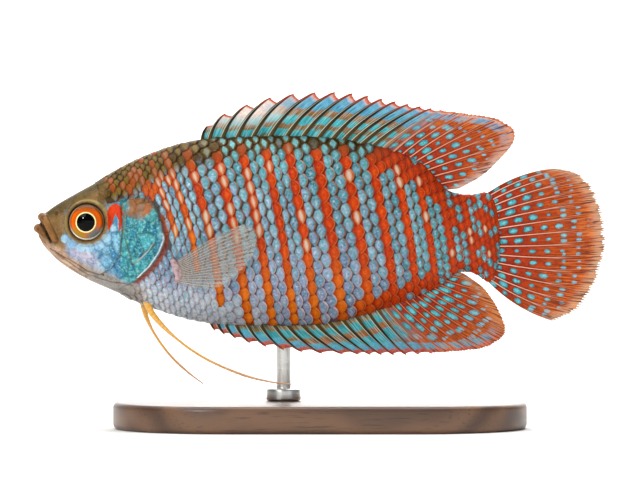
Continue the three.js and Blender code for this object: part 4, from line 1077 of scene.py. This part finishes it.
# What the fins share. spines is how far along the base the spiny part goes, notch how many mm its skin falls
# back between two spines, fringe how deep the soft edge is cut as a share of its length, and tips its points
# in a gap.
finCommon = {
    "thick": 0.14, "wave": 0.06, "rayWidth": 0.11, "rayHeight": 0.26, "spineShare": 0.13, "spineWidth": 0.3,
    "spines": -1, "tips": 4, "notch": through([[0, 0], [1, 0]]), "y": lambda x, z, v: np.zeros_like(x)}
dorsalX = through([[0, -17.9], [0.043, -16.7], [0.13, -12.6], [0.304, -2.8], [0.391, 1.65], [0.522, 6.15],
                   [0.652, 11.0], [0.783, 14.4], [1, 18.9]])
dorsal = {
    **finCommon, "rays": 24, "columns": 24, "rows": 60, "sunk": 0.05, "spines": 0.62, "fringe": 0.025,
    "rayHeight": 0.3, "rayWidth": 0.12, "spineWidth": 0.32, "bend": lambda t: 0.1 * (1 - t),
    "notch": through([[0, 1.4], [0.06, 2.3], [0.2, 2.2], [0.3, 1.9], [0.45, 1.2], [0.6, 0.6], [1, 0.3]]),
    "height": lambda place: place[..., 1] - backZ(place[..., 0]),
    "base": lambda t: np.stack([dorsalX(t), backZ(dorsalX(t)) - 0.2], -1),
    "tip": flat([
        [0, -17.0, 17.15], [0.043, -14.3, 19.0], [0.13, -7.45, 21.4], [0.217, -0.7, 22.2],
        [0.304, 4.9, 22.05], [0.391, 9.4, 21.25], [0.522, 15.2, 20.1], [0.652, 19.9, 19.3],
        [0.739, 24.0, 18.75], [0.783, 26.9, 18.1], [0.826, 29.1, 16.6], [0.87, 29.0, 14.5],
        [0.913, 26.9, 12.0], [0.957, 24.3, 9.6], [1, 20.9, 7.7]])}
dorsalLooks = {
    "spine": "#20170D", "softRay": "#E8A486", "rayShows": (0.95, 0.4), "alpha": (1.0, 0.93), "rayAlpha": 0.3,
    "hair": "#DA7E30", "darkHair": "#5A1C04", "spotPitch": 2.1, "spotSize": (0.36, 0.6), "spotsTo": 0.8,
    "wavy": 1.3, "spiny": 1.0, "front": 1.0, "trail": 0.84, "trailWide": 3.0, "trailShare": 0.8,
    "trailColours": ("#B88A66", "#C9D0D2"),
    "bands": [(0.0, "#5E5A26"), (0.03, "#2C98A2"), (0.16, "#35A6AC"), (0.19, "#7E5A1E"), (0.28, "#8E5A1A"),
              (0.31, "#36A8B2"), (0.46, "#40B0B8"), (0.5, "#94601A"), (0.62, "#A0641C"), (0.67, "#3E98BC"),
              (1.0, "#6CB6D2")],
    "edging": [(0.0, "#B03410"), (0.07, "#C85028"), (0.11, "#DC9A80", 0.95), (0.16, "#90B4CA", 0.9),
               (0.21, "#4490B8", 0.95), (0.4, "#44A0C0", 0.95), (0.5, "#44A4C4", 0.0)]}
analX = through([[0, -16.6], [0.1, -13.3], [0.23, -6.7], [0.36, 0.6], [0.52, 8.6], [1, 20.5]])
anal = {
    **finCommon, "rays": 28, "columns": 20, "rows": 50, "sunk": 0.08, "spines": 0.56, "fringe": 0.02,
    "spineWidth": 0.24, "bend": lambda t: -0.08 * (1 - t),
    "notch": through([[0, 0.9], [0.2, 1.2], [0.5, 0.7], [1, 0.3]]),
    "height": lambda place: bellyZ(place[..., 0]) - place[..., 1],
    "base": lambda t: np.stack([analX(t), bellyZ(analX(t)) + 0.2], -1),
    "tip": flat([
        [0, -15.7, -13.7], [0.065, -13.0, -14.7], [0.13, -9.3, -15.8], [0.23, -2.1, -16.9], [0.32, 5.1, -17.2],
        [0.42, 9.9, -17.3], [0.52, 14.9, -17.2], [0.61, 19.8, -16.8], [0.71, 24.7, -16.2], [0.78, 27.2, -14.8],
        [0.83, 27.9, -13.4], [0.88, 26.9, -10.6], [0.94, 24.7, -7.3], [1, 21.6, -5.0]])}
analLooks = dict(
    dorsalLooks, softRay="#D8805C", spotPitch=2.2, spotSize=(0.34, 0.78), spotsTo=0.86, front=0.0, trail=0.8,
    trailWide=3.4, trailColours=("#A8501C", "#D0A070"),
    bands=[(0.0, "#6A5A20"), (0.1, "#96681C"), (0.14, "#2C98A2"), (0.3, "#349EA8"), (0.35, "#9C641A"),
           (0.48, "#A85818"), (0.52, "#38A2B0"), (0.75, "#38A2B0"), (1.0, "#B84410")],
    edging=[(0.0, "#A02804"), (0.15, "#BC3808"), (0.19, "#2C8EB0", 0.95), (0.42, "#38A2BA", 0.95),
            (0.5, "#38A2BA", 0.0)])
caudalFan = math.radians(76)
caudal = {
    **finCommon, "rays": 15, "columns": 34, "rows": 70, "sunk": 0.06, "fringe": 0.05, "tips": 6, "thick": 0.16,
    "wave": 0.1, "bend": lambda t: 0.13 * (0.5 - t),
    "base": lambda t: np.stack([24.9 + 2.0 * np.cos(caudalFan * (1 - 2 * t)),
                                0.4 + 7.1 * np.sin(caudalFan * (1 - 2 * t))], -1),
    "tip": flat([
        [0, 35.4, 10.8], [0.15, 38.9, 10.0], [0.3, 41.5, 7.2], [0.5, 42.9, 1.8], [0.65, 42.6, -2.7],
        [0.8, 40.8, -7.6], [0.9, 38.6, -10.5], [1, 35.1, -12.2]])}
caudalLooks = dict(
    dorsalLooks, softRay="#F0B8A0", rayShows=(1.0, 0.35), alpha=(1.0, 0.88), spotPitch=2.3,
    spotSize=(0.36, 0.62), spotsTo=0.86, spiny=0.0, front=0.0, trail=-1.0, trailWide=2.2,
    trailColours=("#8E5426", "#E8D2B4"))
pectoral = {
    **finCommon, "rays": 17, "columns": 18, "rows": 44, "sunk": 0.01, "fringe": 0.03, "thick": 0.06,
    "rayHeight": 0.05, "rayWidth": 0.036, "wave": 0.05, "bend": lambda t: 0.06 * (0.5 - t),
    "base": lambda t: np.stack([-21.0 + 0.4 * np.sin(np.pi * t), -4.7 + 1.7 * (1 - 2 * t)], -1),
    "tip": flat([[0, -11.2, 2.4], [0.15, -9.6, 1.6], [0.3, -9.2, 0.2], [0.45, -9.5, -1.5], [0.6, -10.4, -3.2],
                 [0.75, -11.9, -4.9], [0.9, -14.2, -6.6], [1, -16.2, -7.3]])}
pectoralLooks = dict(
    dorsalLooks, softRay="#DCD2BC", hair="#D8D4C4", darkHair="#8E8474", spotsTo=-1.0, spiny=0.0, front=0.0,
    trail=-1.0, trailWide=30.0, trailShare=1.0, trailColours=("#8E9A94", "#C0C0B6"), alpha=(0.2, 0.1),
    rayAlpha=0.7, rayShows=(0.9, 0.8))

for name, fin, looks, finish, node in (
        ("dorsal fin", dorsal, dorsalLooks, "fin skin, banded and spotted, dorsal", "dorsal_fin"),
        ("anal fin", anal, analLooks, "fin skin, banded and spotted, anal", "anal_fin"),
        ("tail fin", caudal, caudalLooks, "fin skin, spotted, tail", "caudal_fin")):
    finSheet(name, fin, finMaterial(finish, looks), node)
clearSkin = finMaterial("fin skin, clear, pectoral", pectoralLooks)


def fleshMaterial():
    # soft wet skin over muscle: pinkish tan, finely mottled, with a low sheen of slime
    material, add = newMaterial("wet skin over muscle, pinkish", roughness=0.4, specularLevel=0.3,
                                subsurfaceWeight=0.1, subsurfaceScale=0.0005)
    mottle = add("noise", add("place"), scaleOf(10 / 18), 4.0)  # mottles of about 0.6 mm
    colour = add("mix", add("range", mottle, 0.35, 0.65), "#8A6A74", "#BCA4A4")
    setSockets(material, baseColor=colour, normal=add("bump", mottle, 0.4, 0.05 * millimetre))
    return material


# the fleshy fold that a pectoral fin's rays grow from, and how the fin stands off the flank
fold = {"path": [[-22.0, -2.8], [-21.55, -3.6], [-21.15, -4.6], [-21.0, -5.4], [-21.45, -6.3]],
        "proud": 0.42, "size": 0.6, "finRoot": 0.62, "finLift": 1.5}
lobeFlesh = fleshMaterial()
for side, word in ((-1, "left"), (1, "right")):
    pectoral["y"] = lambda x, z, v: side * (
        sideY(x, z) + fold["finRoot"] + fold["finLift"] * np.maximum(0, v) ** 1.2)
    finSheet("pectoral fin " + word, pectoral, clearSkin, "pectoral_fin_" + word)
    half = along(fold["path"], np.linspace(0, 1, 60))
    crescent = np.stack([half[:, 0], side * (sideY(half[:, 0], half[:, 1]) + fold["proud"]), half[:, 1]], -1)
    swell = lambda t: 0.06 + fold["size"] * np.sin(np.pi * (0.08 + 0.84 * t)) ** 0.7
    flesh, quads = cappedTube(tube(crescent, swell, lambda t: 0.8 * swell(t), 20))
    lobe = makeObject("pectoral lobe " + word, flesh, quads, lobeFlesh)

# Each pelvic fin is one long soft ray, gold fading to salmon
threads = {
    "left": [[-26.2, -1.5, -8.6], [-25.0, -2.0, -11.1], [-21.8, -2.6, -14.4], [-17.4, -3.0, -17.5],
             [-11.8, -3.2, -20.0], [-7.6, -3.2, -21.1], [-4.3, -3.1, -21.5]],
    "right": [[-26.7, 1.5, -8.6], [-26.2, 2.0, -11.4], [-24.9, 2.6, -14.2], [-22.6, 3.1, -17.4],
              [-20.0, 3.4, -19.9], [-17.6, 3.5, -21.7]]}
threadRings, threadSides = 160, 16


def threadMaterial():
    # a soft ray in wet gold skin, paler and redder to the tip: glossy, with joints 0.4 to 0.7 mm apart
    material, add = newMaterial("pelvic thread, soft ray in gold skin", roughness=0.32, coatWeight=0.5,
                                coatRoughness=0.12, subsurfaceWeight=0.15, subsurfaceScale=0.0004)
    far = stored(add, "thread")[0]
    gold = add("ramp", far, stops=[(0, "#D9A033"), (0.45, "#E3A54A"), (1.0, "#DDAE92")])
    joints = add("sine", add("multiply", far, 260.0))  # 41 joints along a thread
    colour = add("mix", add("range", joints, 0.8, 1.0, 0.0, 0.35), gold, "#9A6A20")
    setSockets(material, baseColor=colour, normal=add("bump", joints, 0.4, 0.06 * millimetre))
    return material


goldThread = threadMaterial()
for word, path in threads.items():
    radius = lambda t: 0.09 + 0.11 * np.minimum(1, 4 * (1 - t)) + 0.4 * np.maximum(0, 1 - 3.4 * t)
    far = np.linspace(0, 1, threadRings)
    body, quads = cappedTube(tube(along(path, far), radius, lambda t: 0.62 * radius(t), threadSides))
    far = np.concatenate([np.repeat(far, threadSides), [0, 1]])
    thread = makeObject("pelvic thread " + word, body, quads, goldThread, {"thread": np.stack([far] * 3, -1)})
    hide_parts("pelvic_fin_" + word)
print("fins are in")


# Stand: a varnished wooden base, a turned steel foot and one steel rod to the far flank

stand = {"length": 62.0, "width": 34.0, "height": 4.0, "corner": 16.9, "edge": 0.8,
         "rodX": -5.5, "rodY": 3.1, "rodRadius": 1.1, "rodFoot": 4.5, "rodTop": axisHeight - 6.2,
         "rodEdge": 0.1, "footRadius": 2.6, "footLow": 4.02, "footTop": 5.9, "footEdge": 0.4}


def steelMaterial():
    # stainless steel turned on a lathe and brushed round: fine rings about 0.1 mm apart that spread its glints
    material, add = newMaterial("stainless steel, brushed", metallic=1.0, baseColor="#C9C9C6")
    ring, across = scaleOf(1 / 9), scaleOf(10 / 3)
    grain = add("noise", add("vector", add("place"), (across, across, ring)), 1.0, 2.0)
    rough = add("range", grain, 0.0, 1.0, 0.2, 0.42)
    setSockets(material, roughness=rough, normal=add("bump", grain, 0.2, 0.02 * millimetre))
    return material


def woodMaterial():
    # walnut, planed, sanded and satin varnished: a low sheen over growth rings about 4 mm apart and dark pores
    material, add = newMaterial("walnut, satin varnished", roughness=0.42, coatWeight=0.25, coatRoughness=0.3)
    place = add("place")
    bent = add("mixVector", 0.012, place, add("noise", place, scaleOf(200 / 9), 2.0, output=1))
    # a ring texture of scale 75 has one ring in 2 pi / 20 / 75 m, or 4.2 mm; the grain runs along x
    rings = add("wave", add("vector", bent, (0.08, 1.0, 1.0)), 75.0, 3.5, 3.0, 1.6,
                wave_type="RINGS", rings_direction="X")
    poreLength, poreWidth = scaleOf(10 / 2.6), scaleOf(10 / 42)
    pores = add("noise", add("vector", place, (poreLength, poreWidth, poreWidth)), 1.0, 3.0)
    pit = add("range", pores, 0.58, 0.68)
    colour = layered(add, add("mix", rings, "#6B4A30", "#4A2F1D"), (add("multiply", pit, 0.6), "#2A1810"))
    relief = add("bump", add("multiply", pit, -1.0), 0.3, 0.05 * millimetre)
    setSockets(material, baseColor=colour, normal=relief)
    return material


def rounded(radius, low, high, edge, steps=6):
    # the side of a disc with rounded edges, as radius and height
    turns = np.linspace(0, math.pi / 2, steps)
    under = [(radius - edge + edge * math.sin(a), low + edge - edge * math.cos(a)) for a in turns]
    over = [(radius - edge + edge * math.cos(a), high - edge + edge * math.sin(a)) for a in turns]
    return under + over


def turned(profile, centre, sides=96, spread=(0, 0)):
    # a profile carried round a circle, whose quarters the spread moves apart
    angle = circle(sides)
    way = np.stack([np.cos(angle), np.sin(angle)], -1)
    middle = centre + np.where(way >= 0, 1, -1) * spread
    return cappedTube(np.array([np.column_stack([middle + r * way, np.full(sides, h)]) for r, h in profile]))


wood, steel = woodMaterial(), steelMaterial()
rodPlace = (stand["rodX"], stand["rodY"])
basePoints = turned(rounded(stand["corner"], 0.0, stand["height"], stand["edge"], 8), (0, 0), 240,
                    (stand["length"] / 2 - stand["corner"], stand["width"] / 2 - stand["corner"]))
footSide = rounded(stand["footRadius"], stand["footLow"], stand["footTop"], stand["footEdge"])
rodSide = rounded(stand["rodRadius"], stand["rodFoot"], stand["rodTop"], stand["rodEdge"])
pieces = [("stand base", basePoints, wood, "stand_base", "wood"),
          ("stand foot", turned(footSide, rodPlace), steel, "stand_collar", "steel"),
          ("stand rod", turned(rodSide, rodPlace), steel, "stand_rod", "steel")]
for name, (body, faces), material, node, slotName in pieces:
    piece = makeObject(name, body, faces, material, standing=True)
    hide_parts(node)
print("stand is in")


# Stage: a pale floor that curves up at the front and back, soft light and a long lens at the photo's level

sweep = {"halfWidth": 2600.0, "front": -2200.0, "back": 1400.0, "curve": 400.0, "top": 2400.0}


def stageFloor():
    # seamless matt paper: an even pale ground without glints
    material = newMaterial("paper sweep, matt white", roughness=0.9, specularLevel=0.1, baseColor="#F4F3F1")[0]
    curve = [(sweep["curve"] * math.sin(a), sweep["curve"] * (1 - math.cos(a)))
             for a in np.linspace(0.1, math.pi / 2, 12)]
    profile = [(sweep["front"] - out, up) for out, up in curve[::-1]]
    profile += [(sweep["front"], 0.0), (sweep["back"], 0.0)]
    profile += [(sweep["back"] + out, up) for out, up in curve]
    profile.append((sweep["back"] + sweep["curve"], sweep["top"]))
    rows = np.array([[(side * sweep["halfWidth"], y, z) for side in (-1, 1)] for y, z in profile])
    mesh = bpy.data.meshes.new("floor")
    mesh.from_pydata((rows.reshape(-1, 3) * millimetre).tolist(), [], gridQuads(len(profile), 2).tolist())
    mesh.materials.append(material)
    mesh.shade_smooth()
    floor = inScene("floor", mesh)


def softLight(name, place, size, power, colour, target=(0, 0, 0.028)):
    data = bpy.data.lights.new(name, "AREA")
    data.shape = "RECTANGLE"
    data.size, data.size_y = size
    data.energy = power
    data.color = linear(colour)[:3]
    lamp = inScene(name, data)
    lamp.location = place
    lamp.rotation_euler = (Vector(target) - Vector(place)).to_track_quat("-Z", "Y").to_euler()


stageFloor()
softLight("key", (-0.28, -0.42, 0.42), (0.3, 0.3), 1.38, "#FFFDF8")
softLight("fill", (0.45, -0.5, 0.2), (0.4, 0.4), 0.45, "#F4F8FF")
softLight("top", (0.0, 0.05, 0.55), (0.5, 0.3), 1.1, "#FFFFFF")
softLight("back", (0.1, 0.45, 0.3), (0.4, 0.3), 1.0, "#FFFFFF")
softLight("glint", (-0.25, -0.46, 0.21), (0.04, 0.04), 0.75, "#FFFFFF", (-0.035, 0, 0.031))
softLight("sweep", (0.0, 0.2, 0.75), (1.2, 0.3), 7.0, "#FFFFFF", (0, 0.6, 0.1))
softLight("backdrop", (0.0, 0.9, 1.0), (1.6, 0.5), 32.0, "#FFFFFF", (0, 3.0, 0.3))
softLight("front paper", (0.0, -1.1, 1.0), (1.6, 0.5), 44.0, "#FFFFFF", (0, -3.2, 0.2))
world = bpy.data.worlds.new("studio")
world.use_nodes = True
world.node_tree.nodes["Background"].inputs[0].default_value = linear("#F6F8FA")
world.node_tree.nodes["Background"].inputs[1].default_value = 0.26
bpy.context.scene.world = world
bpy.context.scene.view_settings.view_transform = "Standard"

cameraData = bpy.data.cameras.new("camera")
cameraData.lens = 200
cameraData.sensor_width = 36
cameraData.clip_start = 0.01
camera = inScene("camera", cameraData)
camera.location = (0, -0.5333, axisHeight * millimetre)
camera.rotation_euler = (math.pi / 2, 0, 0)
bpy.context.scene.camera = camera

print("stage is lit")
